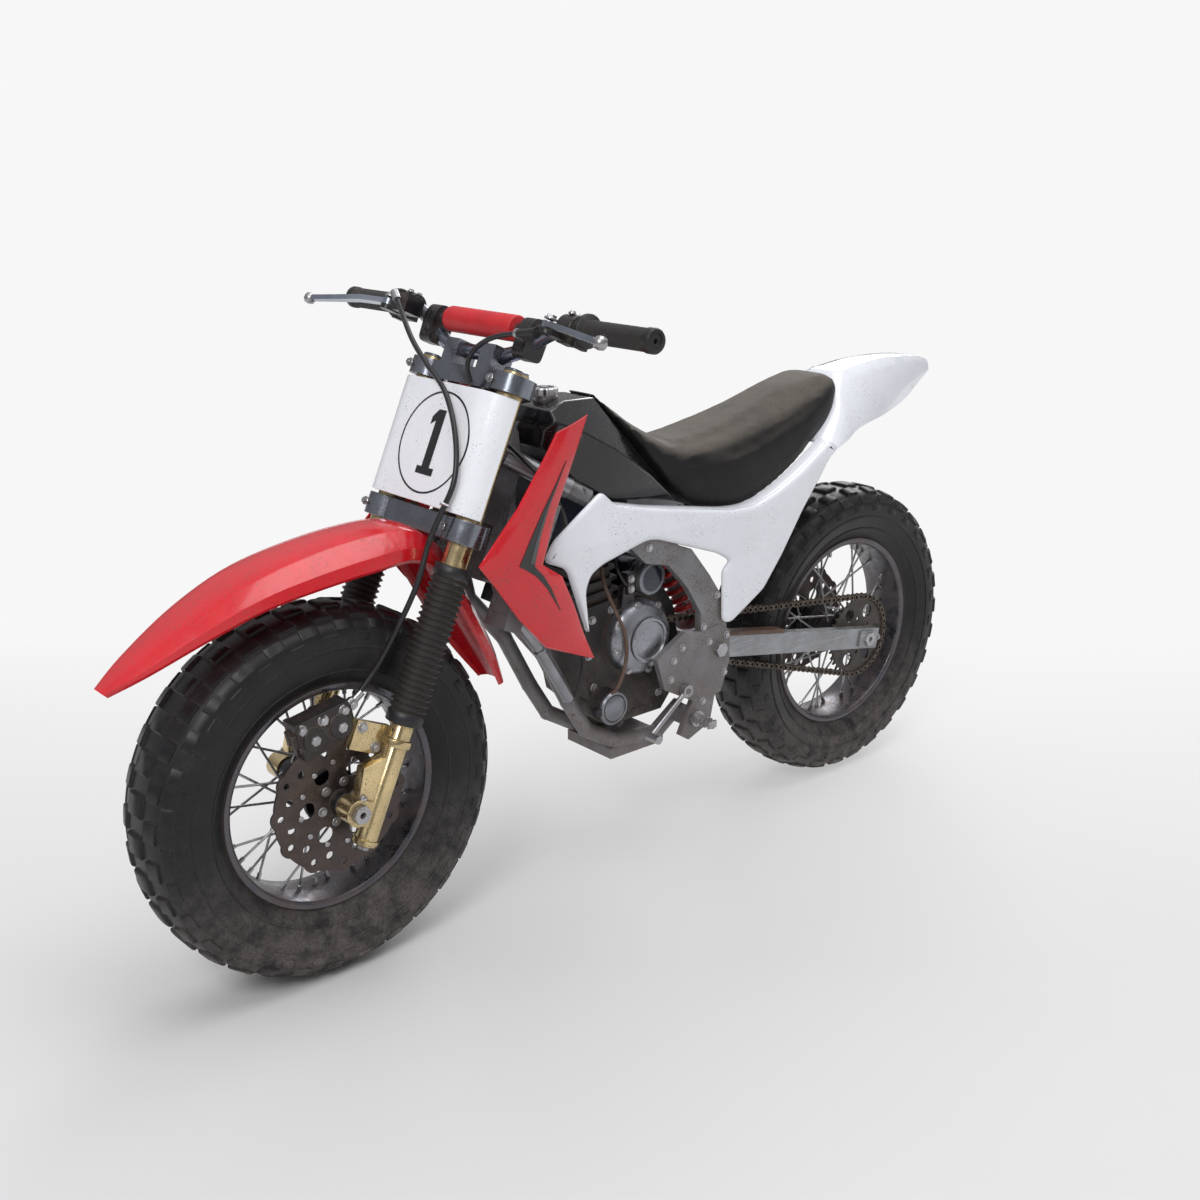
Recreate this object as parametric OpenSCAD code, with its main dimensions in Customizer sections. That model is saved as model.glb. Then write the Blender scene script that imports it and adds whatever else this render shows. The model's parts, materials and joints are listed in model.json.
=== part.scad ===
/* [Wheels] */
// Outer radius of both tyres, over the knobs
tyre_r = 90; // [89:0.5:91]
// Half width of both tyres
tyre_half_w = 21; // [20:0.5:21.5]
// Distance between the two axles
wheelbase = 360; // [358:1:364]
// Number of wire spokes in each wheel
spoke_count = 32; // [16:8:32]
// Number of tread blocks in each row round the tyre
knob_count = 30; // [24:2:36]

/* [Steering and fork] */
// Angle of the steering axis from the vertical, in degrees
rake = 24.2; // [23:0.1:25]
// Distance of the fork legs ahead of the steering axis
fork_offset = 18; // [17:0.5:19]
// Distance of the axle ahead of the fork legs
axle_lead = 11.2; // [10:0.2:12]
// Distance of the axle below the steering head, along the steering axis
axle_drop = 138; // [136:1:140]
// Half distance between the two fork legs
fork_half_w = 32; // [31:0.5:33]
// Travel of the fork
fork_travel = 10; // [6:1:10]

/* [Body] */
// How far ahead of the middle of the wheelbase the front fender reaches
fender_tip_x = 278; // [274:1:282]
// Outer half width of the side panels
panel_half_w = 39.5; // [38.5:0.5:40]
// Outer half width of the radiator shrouds at their front corners
shroud_half_w = 50; // [50:0.5:52]
// Wall of the moulded body pieces
wall = 1.6; // [1.2:0.1:2]

/* [Drive] */
// Teeth on the rear sprocket, three times those on the front one
rear_teeth = 36; // [36:12:36]
// Distance between the chain's rollers along its loop
chain_step = 4.254; // [4.253:0.001:4.255]
// Height of the chain's plane out from the middle of the bike
chain_y = 23.5; // [23.5:0.1:23.7]
// Teeth on the motor's pinion
pinion_teeth = 16; // [16:1:16]
// Teeth on the spur gear
spur_teeth = 48; // [48:1:48]

/* [Hidden] */
$fn = 48;

// Gap round a part that turns or slides in another
running = 0.08;
// Gap round a part that is only held in another
slip = 0.05;

// Axles, in a frame whose X = 0 is midway between them
front_x = wheelbase / 2;
rear_x = -wheelbase / 2;
box_mid_x = (fender_tip_x + rear_x - tyre_r) / 2;
head_x = front_x - (fork_offset + axle_lead) * cos(rake) - axle_drop * sin(rake);
head_z = tyre_r - (fork_offset + axle_lead) * sin(rake) + axle_drop * cos(rake);
axle_r = 2.5;
axle_bore_r = 1.5;

// Swingarm pivot, countershaft, motor and shock eyes, as X and Z
pivot = [-48, 115];
countershaft = [-2, 129];
gear_module = 1;
gear_lean = 9;
motor = countershaft + gear_module * (pinion_teeth + spur_teeth) / 2 * [-sin(gear_lean), cos(gear_lean)];
shock_top = [-30, 176];
shock_low = [-68, 112];

// Layers outwards from the middle plane
arm_in_y = 26;
arm_out_y = 32;
plate_in_y = 32.5;
plate_out_y = 36;

// ---------- helpers ----------

// Moves a piece so that the origin is under the middle of the whole bike
module in_bike() translate([-box_mid_x, 0, 0]) children();

// Puts a piece in the steering head's own frame: Z up the steering axis, X forward
module steer() in_bike() translate([head_x, 0, head_z]) rotate([0, -rake, 0]) children();

// Puts a piece that turns about Z onto an axle at X, Z, with its Z pointing to the left
module on_axle(x, z) in_bike() translate([x, 0, z]) rotate([-90, 0, 0]) children();

module both_sides() {
    children();
    mirror([0, 1, 0]) children();
}

// Straight round bar from a to b
module rod(a, b, r) {
    d = b - a;
    translate(a) rotate([0, acos(d.z / norm(d)), atan2(d.y, d.x)]) cylinder(h = norm(d), r = r);
}

// Round bar through a list of points, with a ball at each bend
module bent_rod(path, r) {
    for (i = [0 : len(path) - 2]) rod(path[i], path[i + 1], r);
    for (i = [1 : 1 : len(path) - 2]) translate(path[i]) sphere(r * 1.04);
}

// Flat plate in the X-Z plane, from y0 to y1
module plate(outline, y0, y1) {
    translate([0, y1, 0]) rotate([90, 0, 0]) linear_extrude(y1 - y0) polygon(outline);
}

// Solid skinned over a list of rings with the same number of points each,
// which run clockwise as seen from the first ring towards the last
module skin(rings) {
    n = len(rings[0]);
    m = len(rings);
    polyhedron(
        points = [for (ring = rings) for (p = ring) p],
        faces = concat(
            [[for (i = [0 : n - 1]) i]],
            [for (j = [0 : m - 2]) for (i = [0 : n - 1])
                for (f = [[j * n + i, (j + 1) * n + i, j * n + (i + 1) % n],
                          [j * n + (i + 1) % n, (j + 1) * n + i, (j + 1) * n + (i + 1) % n]]) f],
            [[for (i = [n - 1 : -1 : 0]) (m - 1) * n + i]]
        )
    );
}

// Point on a smooth curve through a list of points, t counted in points
function curve(path, t) =
    let (n = len(path), i = min(floor(t), n - 2), u = t - i,
         a = path[max(i - 1, 0)], b = path[i], c = path[i + 1], d = path[min(i + 2, n - 1)])
        0.5 * (2 * b + (c - a) * u + (2 * a - 5 * b + 4 * c - d) * u * u + (3 * b - a - 3 * c + d) * u * u * u);

function unit(v) = v / norm(v);

// Flexible line of radius r through a list of points
module hose(path, r) {
    steps = 6;
    sides = 8;
    total = (len(path) - 1) * steps;
    skin([for (i = [0 : total])
        let (t = i / steps, p = curve(path, t),
             along = unit(curve(path, min(t + 0.05, len(path) - 1)) - curve(path, max(t - 0.05, 0))),
             across = unit(cross([0, 1, 0.3], along)), up = cross(along, across))
            [for (k = [0 : sides - 1]) let (a = -360 * k / sides) p + r * (cos(a) * across + sin(a) * up)]]);
}

// Spur gear outline, with one tooth at the angle given
function gear_outline(teeth, phase) = [
    for (i = [0 : teeth - 1]) for (k = [[-0.3, -1.15], [-0.13, 0.85], [0.13, 0.85], [0.3, -1.15]])
        let (a = 360 / teeth * (i + k[0]) + phase, r = gear_module * (teeth / 2 + k[1])) r * [cos(a), sin(a)]];

// ---------- chain loop ----------

front_teeth = rear_teeth / 3;
sprocket_front_r = front_teeth * chain_step / (2 * PI);
sprocket_rear_r = rear_teeth * chain_step / (2 * PI);
chain_span = [rear_x, tyre_r] - countershaft;
chain_e = chain_span / norm(chain_span);
chain_n = [chain_e[1], -chain_e[0]];
chain_tilt = asin((sprocket_rear_r - sprocket_front_r) / norm(chain_span));
chain_up = cos(chain_tilt) * chain_n - sin(chain_tilt) * chain_e;
chain_down = -cos(chain_tilt) * chain_n - sin(chain_tilt) * chain_e;
chain_back = cos(chain_tilt) * chain_e + sin(chain_tilt) * chain_n;
chain_front = -cos(chain_tilt) * chain_e + sin(chain_tilt) * chain_n;
chain_run = norm(chain_span) * cos(chain_tilt);
rear_wrap = sprocket_rear_r * (180 + 2 * chain_tilt) * PI / 180;
front_wrap = sprocket_front_r * (180 - 2 * chain_tilt) * PI / 180;
chain_length = 2 * chain_run + rear_wrap + front_wrap;
chain_links = round(chain_length / chain_step);
roller_r = 1.05;

// Point on the loop at a distance s along it, moved out by off
function chain_point(s, off = 0) =
    s < chain_run ?
        countershaft + (sprocket_front_r + off) * chain_up + s * [-chain_up[1], chain_up[0]]
    : s < chain_run + rear_wrap ?
        let (t = (s - chain_run) / sprocket_rear_r * 180 / PI)
            [rear_x, tyre_r] + (sprocket_rear_r + off) * (cos(t) * chain_up + sin(t) * chain_back)
    : s < 2 * chain_run + rear_wrap ?
        [rear_x, tyre_r] + (sprocket_rear_r + off) * chain_down
            + (s - chain_run - rear_wrap) * [-chain_down[1], chain_down[0]]
    :
        let (t = (s - 2 * chain_run - rear_wrap) / sprocket_front_r * 180 / PI)
            countershaft + (sprocket_front_r + off) * (cos(t) * chain_down + sin(t) * chain_front);

// Angle of a point of the loop as seen from a sprocket's centre, in its on_axle frame
function sprocket_angle(s, centre) = let (d = chain_point(s) - centre) atan2(-d[1], d[0]);

// Toothed sprocket outline, with its tooth gaps on the chain's rollers
function sprocket_outline(teeth, r, roller_angle) = [
    for (i = [0 : teeth - 1]) for (k = [[-0.9, -1.3], [-0.3, 1], [0.3, 1], [0.9, -1.3]])
        let (a = 360 / teeth * (i + 0.5) + roller_angle + k[0] / r * 180 / PI, q = r + k[1])
            q * [cos(a), sin(a)]];

// ---------- wheels ----------

module tyre_shape(bead_r) {
    w = tyre_half_w;
    knob_h = 1.8;
    base_r = tyre_r - knob_h;
    rotate_extrude() polygon([
        [bead_r, -13], [bead_r + 4, -16], [bead_r + 9, -w + 2], [base_r - 14, -w + 1], [base_r - 6, -w + 2],
        [base_r - 1.5, -13], [base_r, 0], [base_r - 1.5, 13], [base_r - 6, w - 2], [base_r - 14, w - 1],
        [bead_r + 9, w - 2], [bead_r + 4, 16], [bead_r, 13]]);
    for (i = [0 : knob_count - 1]) rotate(i * 360 / knob_count) {
        translate([base_r - 3, -5, -5.5]) cube([knob_h + 2.9, 10, 11]);
        rotate(180 / knob_count) for (s = [-1, 1]) {
            translate([base_r - 4, -4.5, s * 12 - 4.5]) cube([knob_h + 3, 9, 9]);
            translate([base_r - 12, -3.5, s * (w - 3.5) - 3.5]) cube([9, 7, 7]);
        }
    }
}

module rim_shape(bead_r) {
    rotate_extrude() polygon([
        [bead_r - 3, -12.9], [bead_r - 0.1, -12.9], [bead_r - 0.1, -11], [bead_r - 1.2, -8], [bead_r - 1.2, 8],
        [bead_r - 0.1, 11], [bead_r - 0.1, 12.9], [bead_r - 3, 12.9], [bead_r - 4.5, 5], [bead_r - 4.5, -5]]);
}

// Wire spokes crossing from the hub's two flanges to the rim
module spoke_set(bead_r, flange_r, flange_y) {
    pairs = spoke_count / 4;
    for (i = [0 : pairs - 1]) for (side = [-1, 1]) for (lean = [-1, 1]) {
        hub_a = (i + (side + 1) / 4) * 360 / pairs + lean * 6;
        rim_a = hub_a + lean * 44;
        rod([flange_r * cos(hub_a), flange_r * sin(hub_a), side * (flange_y + lean * 0.7)],
            [(bead_r - 4) * cos(rim_a), (bead_r - 4) * sin(rim_a), side * (2 + lean)], 0.6);
    }
}

module hub_shape(left_boss, right_boss) {
    rotate_extrude() polygon([
        [axle_r + running, -right_boss], [6, -right_boss], [6, -12.4], [13, -12.4], [13, -10], [7.5, -8],
        [7.5, 8], [13, 10], [13, 12.4], [6, 12.4], [6, left_boss], [axle_r + running, left_boss]]);
}

// Brake disc with a wavy rim, a carrier and two rings of holes
module disc_shape(r, bore_r) {
    lobes = 12;
    difference() {
        union() {
            cylinder(h = 1.4, r = r - 1.5);
            for (i = [0 : lobes - 1]) rotate(i * 360 / lobes) translate([r - 5, 0, 0]) cylinder(h = 1.4, r = 5);
        }
        translate([0, 0, -1]) cylinder(h = 4, r = bore_r);
        for (i = [0 : lobes - 1]) rotate(i * 360 / lobes) {
            translate([r - 5, 0, -1]) cylinder(h = 4, r = 1.6);
            rotate(180 / lobes) translate([r - 9, 0, -1]) cylinder(h = 4, r = 1.9);
        }
        for (i = [0 : lobes / 2 - 1]) rotate(i * 720 / lobes)
            translate([(bore_r + r) / 2 - 4, 0, -1]) cylinder(h = 4, r = 4);
    }
}

front_bead_r = 54.5;
rear_bead_r = 58;

module front_tyre() color([0.06, 0.06, 0.065]) on_axle(front_x, tyre_r) tyre_shape(front_bead_r);

module front_rim() color([0.35, 0.37, 0.42]) on_axle(front_x, tyre_r) rim_shape(front_bead_r);

module front_spokes() color("silver") on_axle(front_x, tyre_r) spoke_set(front_bead_r, 12, 11.2);

module front_hub() color([0.3, 0.31, 0.34]) on_axle(front_x, tyre_r) hub_shape(25.8, 25.8);

module front_disc() color([0.25, 0.25, 0.27]) on_axle(front_x, tyre_r) translate([0, 0, 18.5]) disc_shape(35, 6 + slip);

module rear_tyre() color([0.06, 0.06, 0.065]) on_axle(rear_x, tyre_r) tyre_shape(rear_bead_r);

module rear_rim() color([0.35, 0.37, 0.42]) on_axle(rear_x, tyre_r) rim_shape(rear_bead_r);

module rear_spokes() color("silver") on_axle(rear_x, tyre_r) spoke_set(rear_bead_r, 12, 11.2);

module rear_hub() color([0.3, 0.31, 0.34]) on_axle(rear_x, tyre_r) hub_shape(25.6, 25.6);

module rear_disc() color([0.25, 0.25, 0.27]) on_axle(rear_x, tyre_r) translate([0, 0, -20]) disc_shape(34, 6 + slip);

module rear_sprocket() color([0.2, 0.19, 0.19]) {
    holes = 6;
    on_axle(rear_x, tyre_r) translate([0, 0, chain_y - 0.6]) difference() {
        linear_extrude(1.2) polygon(sprocket_outline(
            rear_teeth, sprocket_rear_r, sprocket_angle(chain_step * ceil(chain_run / chain_step), [rear_x, tyre_r])));
        translate([0, 0, -1]) cylinder(h = 4, r = 6 + slip);
        for (i = [0 : holes - 1]) rotate(i * 360 / holes) {
            translate([16, 0, -1]) cylinder(h = 4, r = 4);
            rotate(180 / holes) translate([10.5, 0, -1]) cylinder(h = 4, r = 1.2);
        }
    }
}

// Hollow axle with a head and a nut, and a through bore for a stand's pin
module axle_shape(half_l) {
    difference() {
        union() {
            translate([0, 0, -half_l]) cylinder(h = 2 * half_l, r = axle_r);
            for (s = [0, 1]) mirror([0, 0, s]) translate([0, 0, half_l]) cylinder(h = 2.5, r = 4.6, $fn = 6);
        }
        translate([0, 0, -half_l - 3]) cylinder(h = 2 * half_l + 6, r = axle_bore_r);
    }
}

axle_head_y = 37.3;

module front_axle() color("silver") on_axle(front_x, tyre_r) axle_shape(axle_head_y);

module rear_axle() color("silver") on_axle(rear_x, tyre_r) axle_shape(arm_out_y + 0.3);

// Two-piston calliper: a block with a slot that straddles a disc
module calliper_shape(slot_y0, slot_y1, y0, y1) {
    difference() {
        union() {
            translate([-13, -9, y0]) cube([26, 18, y1 - y0]);
            for (s = [-1, 1]) translate([s * 7, 0, y1 - 0.5]) cylinder(h = 3, r = 5.5);
            translate([-15.5, -5, y0 + 1]) cube([31, 7, y1 - y0 - 2]);
        }
        translate([-20, -10, slot_y0]) cube([40, 30, slot_y1 - slot_y0]);
    }
    translate([-13, -9.5, y0]) cube([26, 3, y1 - y0]);
}

calliper_r = 38;

module front_calliper() color([0.16, 0.17, 0.2])
    on_axle(front_x, tyre_r) rotate(-79) translate([calliper_r, 0, 0]) rotate(90)
        calliper_shape(18, 20.6, 14, 24);

module rear_calliper() color([0.16, 0.17, 0.2])
    on_axle(rear_x, tyre_r) rotate(-60) translate([calliper_r - 1, 0, 0]) rotate(90) mirror([0, 0, 1])
        calliper_shape(18, 20.6, 14.5, 23.5);

// ---------- fork and steering ----------

clamp_low = [-9.5, 1.2];
clamp_top = [61.5, 70];
tube_r = 6.2;
slider_r = 4.9;
leg_r = 5.5;
tube_low_w = -78;
leg_top_w = -89;
leg_low_w = -153;
boot_top_w = -20;
boot_low_w = -95;
stem_r = 5;

// Plate that ties both fork tubes to the stem, seen from above, between two heights on the steering axis
module clamp_body(w0, w1) {
    y = fork_half_w;
    translate([0, 0, w0]) linear_extrude(w1 - w0) {
        polygon([[fork_offset + 6, -y], [fork_offset + 6, y], [fork_offset - 7, y + 8], [-6, 10], [-9.5, 6],
                 [-9.5, -6], [-6, -10], [fork_offset - 7, -y - 8]]);
        for (s = [-1, 1]) translate([fork_offset, s * y]) circle(r = 10);
    }
}

module upper_clamp() color([0.13, 0.17, 0.27]) steer() {
    difference() {
        union() {
            clamp_body(clamp_top[0], clamp_top[1]);
            for (s = [-1, 1]) translate([fork_offset - 6, s * 14 - 5, clamp_top[1] - 1]) cube([12, 10, 13]);
        }
        for (s = [-1, 1]) translate([fork_offset, s * fork_half_w, clamp_top[0] - 1]) cylinder(h = 20, r = tube_r + slip);
        translate([0, 0, clamp_top[0] - 1]) cylinder(h = 20, r = stem_r + slip);
        translate([bar_u, -30, bar_low_w]) rotate([-90, 0, 0]) cylinder(h = 60, r = bar_r + slip);
    }
}

module lower_clamp() color([0.13, 0.17, 0.27]) steer() {
    difference() {
        clamp_body(clamp_low[0], clamp_low[1]);
        for (s = [-1, 1]) translate([fork_offset, s * fork_half_w, clamp_low[0] - 1]) cylinder(h = 20, r = tube_r + slip);
    }
    translate([0, 0, clamp_low[0] + 1]) cylinder(h = clamp_top[1] - clamp_low[0] + 2, r = stem_r);
    translate([link_u, link_y, clamp_low[0] - 5]) cylinder(h = 6, r = 1.5);
}

module fork_tubes() color([0.72, 0.58, 0.3]) steer() both_sides()
    translate([fork_offset, fork_half_w, tube_low_w]) difference() {
        cylinder(h = clamp_top[1] + 1.5 - tube_low_w, r = tube_r);
        translate([0, 0, -1]) cylinder(h = clamp_top[1] - tube_low_w, r = slider_r + running);
    }

module fork_legs() color([0.72, 0.58, 0.3]) steer() {
    both_sides() difference() {
        union() {
            translate([fork_offset, fork_half_w, leg_low_w]) cylinder(h = leg_top_w - leg_low_w, r = leg_r);
            translate([fork_offset, fork_half_w, leg_top_w - 1]) cylinder(h = 65, r = slider_r);
            translate([fork_offset + axle_lead, fork_half_w + 5, -axle_drop]) rotate([90, 0, 0]) cylinder(h = 10, r = 6.5);
            translate([fork_offset - 1, fork_half_w - 4, -axle_drop - 6]) cube([axle_lead + 1, 8, 12]);
            translate([fork_offset + 1, fork_half_w + 3, -axle_drop + 4]) rotate([90, 0, 0]) linear_extrude(6)
                polygon([[0, 0], [axle_lead, 0], [axle_lead + 3, 16], [0, 26]]);
        }
        translate([fork_offset + axle_lead, fork_half_w + 8, -axle_drop]) rotate([90, 0, 0])
            cylinder(h = 16, r = axle_r + slip);
        translate([fork_offset, fork_half_w, leg_top_w - 40]) cylinder(h = 110, r = 3.2);
    }
    // Tab that carries the calliper
    translate([fork_offset + 3, 24.3, -axle_drop + 26]) cube([18.4, 3.8, 14]);
}

module fork_boots() color([0.09, 0.09, 0.1]) steer() both_sides()
    translate([fork_offset, fork_half_w, 0]) {
        ribs = 22;
        cuff = 6;
        pitch = (boot_top_w - boot_low_w - 2 * cuff) / ribs;
        rotate_extrude() polygon(concat(
            [[leg_r + slip, boot_low_w], [8.6, boot_low_w], [8.6, boot_low_w + cuff]],
            [for (i = [0 : ribs - 1]) for (k = [[7.7, 0.15], [8.7, 0.5], [7.7, 0.85]])
                [k[0], boot_low_w + cuff + (i + k[1]) * pitch]],
            [[8.6, boot_top_w - cuff], [8.6, boot_top_w], [tube_r + 0.3, boot_top_w],
             [tube_r + 0.3, boot_low_w + cuff - 0.4], [leg_r + slip, boot_low_w + cuff - 0.4]]));
    }

// Left half of the number plate's section, from its middle round to the rear edge, moved in by off
plate_low_w = 2.6;
plate_corner = 14.6;
plate_flat_y = 27;
plate_front_u = fork_offset + 13;
function plate_half(off) = concat(
    [for (a = [0 : 15 : 75])
        [plate_front_u - plate_corner + (plate_corner - off) * cos(a), plate_flat_y + (plate_corner - off) * sin(a)]],
    [[plate_front_u - plate_corner, plate_flat_y + plate_corner - off]]);
function mirrored(points) = [for (p = points) [p[0], -p[1]]];
function reversed(points) = [for (i = [len(points) - 1 : -1 : 0]) points[i]];

// Wrap-round plate ahead of the fork tubes
module number_plate() color("white") steer() {
    translate([0, 0, plate_low_w]) linear_extrude(57) polygon(concat(
        plate_half(0), reversed(plate_half(wall)), mirrored(plate_half(wall)), reversed(mirrored(plate_half(0)))));
    // Two pads behind the plate
    for (w = [8, 52]) translate([fork_offset + 6.5, -4, w]) cube([5.2, 8, 4]);
}

// Fender stations along its ridge: X, Z, tilt of its outward normal towards the rear, half width, drop of the edges.
// The last ones run down behind the wheel as a splash panel.
fender_stations = [
    [fender_tip_x, 163, -45, 5, 2], [264, 173, -38, 12, 5], [240, 188, -30, 18, 9], [214, 200, -20, 21, 12],
    [188, 206.5, -12, 22, 14], [158, 210.5, -4, 22, 15], [133, 210, 12, 21, 14], [117, 200.5, 38, 20, 12],
    [108, 187, 58, 20, 10], [95, 162, 64, 20, 9], [84, 141, 68, 17, 8], [75, 120, 72, 9, 4]];

// Closed ring across the fender: edge to edge outside, then back along the inside
function fender_ring(s) =
    let (n = [sin(-s[2]), cos(s[2])],
         outer = [[-s[3], s[4]], [-0.62 * s[3], 0.16 * s[4]], [0, 0], [0.62 * s[3], 0.16 * s[4]], [s[3], s[4]]])
    concat([for (p = outer) [s[0] - p[1] * n[0], p[0], s[1] - p[1] * n[1]]],
           [for (i = [4 : -1 : 0]) let (d = outer[i][1] + wall, y = 0.93 * outer[i][0])
               [s[0] - d * n[0], y, s[1] - d * n[1]]]);

module front_fender() color([0.8, 0.05, 0.08]) in_bike() skin([for (s = fender_stations) fender_ring(s)]);

// ---------- handlebar and controls ----------

bar_r = 3.6;
bar_end_r = 2.8;
bar_u = 18;
bar_low_w = 78;
bar_top_w = 95;
grip_y0 = 72;
grip_y1 = 116.5;
grip_r = 5;
lever_pin_r = 1.2;
lever_u = 33;
lever_y = 66;
lever_w = 90.5;

module handlebar() color([0.2, 0.25, 0.37]) steer() {
    bent_rod([[bar_u + 2, -70, bar_top_w], [bar_u + 2, -54, bar_top_w], [bar_u, -24, bar_low_w],
              [bar_u, 24, bar_low_w], [bar_u + 2, 54, bar_top_w], [bar_u + 2, 70, bar_top_w]], bar_r);
    both_sides() {
        rod([bar_u + 2, 69, bar_top_w], [bar_u + 2, grip_y1 - 1.5, bar_top_w], bar_end_r);
        translate([bar_u - 4, 35, bar_low_w + 5]) cube([10, 5, 12]);
    }
    rod([bar_u + 2, -38, bar_low_w + 13.5], [bar_u + 2, 38, bar_low_w + 13.5], 2.4);
}

module bar_pad() color([0.75, 0.05, 0.08]) steer() translate([bar_u + 2, -26, bar_low_w + 13.5]) rotate([-90, 0, 0])
    difference() {
        cylinder(h = 52, r = 6.2);
        translate([0, 0, -1]) cylinder(h = 54, r = 2.4 + slip);
    }

module grip_shape(gap) translate([bar_u + 2, 0, bar_top_w]) rotate([-90, 0, 0]) {
    ribs = 16;
    pitch = (grip_y1 - grip_y0 - 6) / ribs;
    rotate_extrude() polygon(concat(
        [[bar_end_r + gap, grip_y0], [7.5, grip_y0], [7.5, grip_y0 + 2]],
        [for (i = [0 : ribs - 1]) for (k = [[grip_r - 0.5, 0.2], [grip_r, 0.5], [grip_r - 0.5, 0.8]])
            [k[0], grip_y0 + 3 + (i + k[1]) * pitch]],
        [[grip_r, grip_y1 - 2.5], [grip_r, grip_y1], [0, grip_y1], [0, grip_y1 - 1.2],
         [bar_end_r + gap, grip_y1 - 1.2]]));
}

module left_grip() color([0.07, 0.07, 0.08]) steer() grip_shape(slip);

module throttle_grip() color([0.07, 0.07, 0.08]) steer() mirror([0, 1, 0]) grip_shape(running);

// Clamp round the bar with a tab and a pin for a lever
module perch_shape() {
    difference() {
        union() {
            translate([bar_u + 2, 58, bar_top_w]) rotate([-90, 0, 0]) cylinder(h = 9, r = 5.6);
            translate([bar_u + 2, 59, lever_w - 2.5]) cube([lever_u - bar_u - 2, 7, 2.3]);
            translate([lever_u, lever_y - 3.5, lever_w - 2.5]) cylinder(h = 2.3, r = 3.5);
        }
        translate([bar_u + 2, 50, bar_top_w]) rotate([-90, 0, 0]) cylinder(h = 30, r = bar_r + slip);
    }
    translate([lever_u, lever_y - 3.5, lever_w - 1]) cylinder(h = 5.5, r = lever_pin_r);
}

module clutch_perch() color([0.12, 0.12, 0.14]) steer() perch_shape();

module brake_master() color([0.12, 0.12, 0.14]) steer() mirror([0, 1, 0]) {
    perch_shape();
    // Fluid reservoir beside the lever's pivot
    translate([lever_u - 9, 46, lever_w - 2]) cube([10, 13, 9]);
}

// Flat blade from an eye on the perch's pin out to a ball at the tip, a little lower
lever_fall = 8;
module lever_shape() translate([lever_u, lever_y - 3.5, lever_w]) difference() {
    union() {
        cylinder(h = 3, r = 3.2);
        rotate([-lever_fall, 0, 0]) {
            translate([0, 0, 0.3]) linear_extrude(2.5)
                polygon([[-2, -1], [3, 0], [9.5, 12], [14.5, 48], [11.5, 51], [5, 16], [1, 8]]);
            translate([13, 51, 1.5]) sphere(r = 2.6);
        }
    }
    translate([0, 0, -1]) cylinder(h = 6, r = lever_pin_r + running);
}

module clutch_lever() color([0.25, 0.3, 0.42]) steer() lever_shape();

module brake_lever() color([0.25, 0.3, 0.42]) steer() mirror([0, 1, 0]) lever_shape();

// Brake hose from the master cylinder, down ahead of the plate, to the calliper on the left leg;
// clutch cable from its lever, in a loop to the back of the upper clamp
module control_cables() color([0.08, 0.08, 0.09]) steer() {
    hose([[lever_u + 4, -52, lever_w + 4.5], [38, -29, 77], [37, -12, 66], [36, 9.5, 54], [34.5, 25, 36],
          [33.5, 33, 17], [33.5, 31, 0], [32.5, 28, -13], [32, 28.5, -33], [33, 25.5, -56], [34, 21.5, -74],
          [39, 19, -92.5]], 1.3);
    hose([[lever_u, 57.5, lever_w - 2.5], [33, 39, 85.8], [33, 25, 82], [32, 15, 76], [31, 12.5, 69],
          [27.5, 14, 62]], 1.2);
}

// ---------- frame ----------

spar_outline = [
    [80, 243], [4, 187], [-26, 175], [-40, 158], [-52, 141], [-54, 124], [-34, 124], [-34, 138], [-24, 154],
    [-10, 169], [6, 173], [70, 219]];
pivot_plate_outline = [
    [-2, 119], [-8, 101], [-32, 88], [-50, 90], [-56, 106], [-56, 124], [-47, 129], [-34, 128], [-22, 130], [-9, 123]];
cradle_path = [[84.5, 178], [80, 158], [58, 132], [42, 102], [30, 83], [10, 71], [-20, 68], [-38, 80]];
cradle_y = 16;
cradle_r = 4.2;
stand_z = 62;

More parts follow.
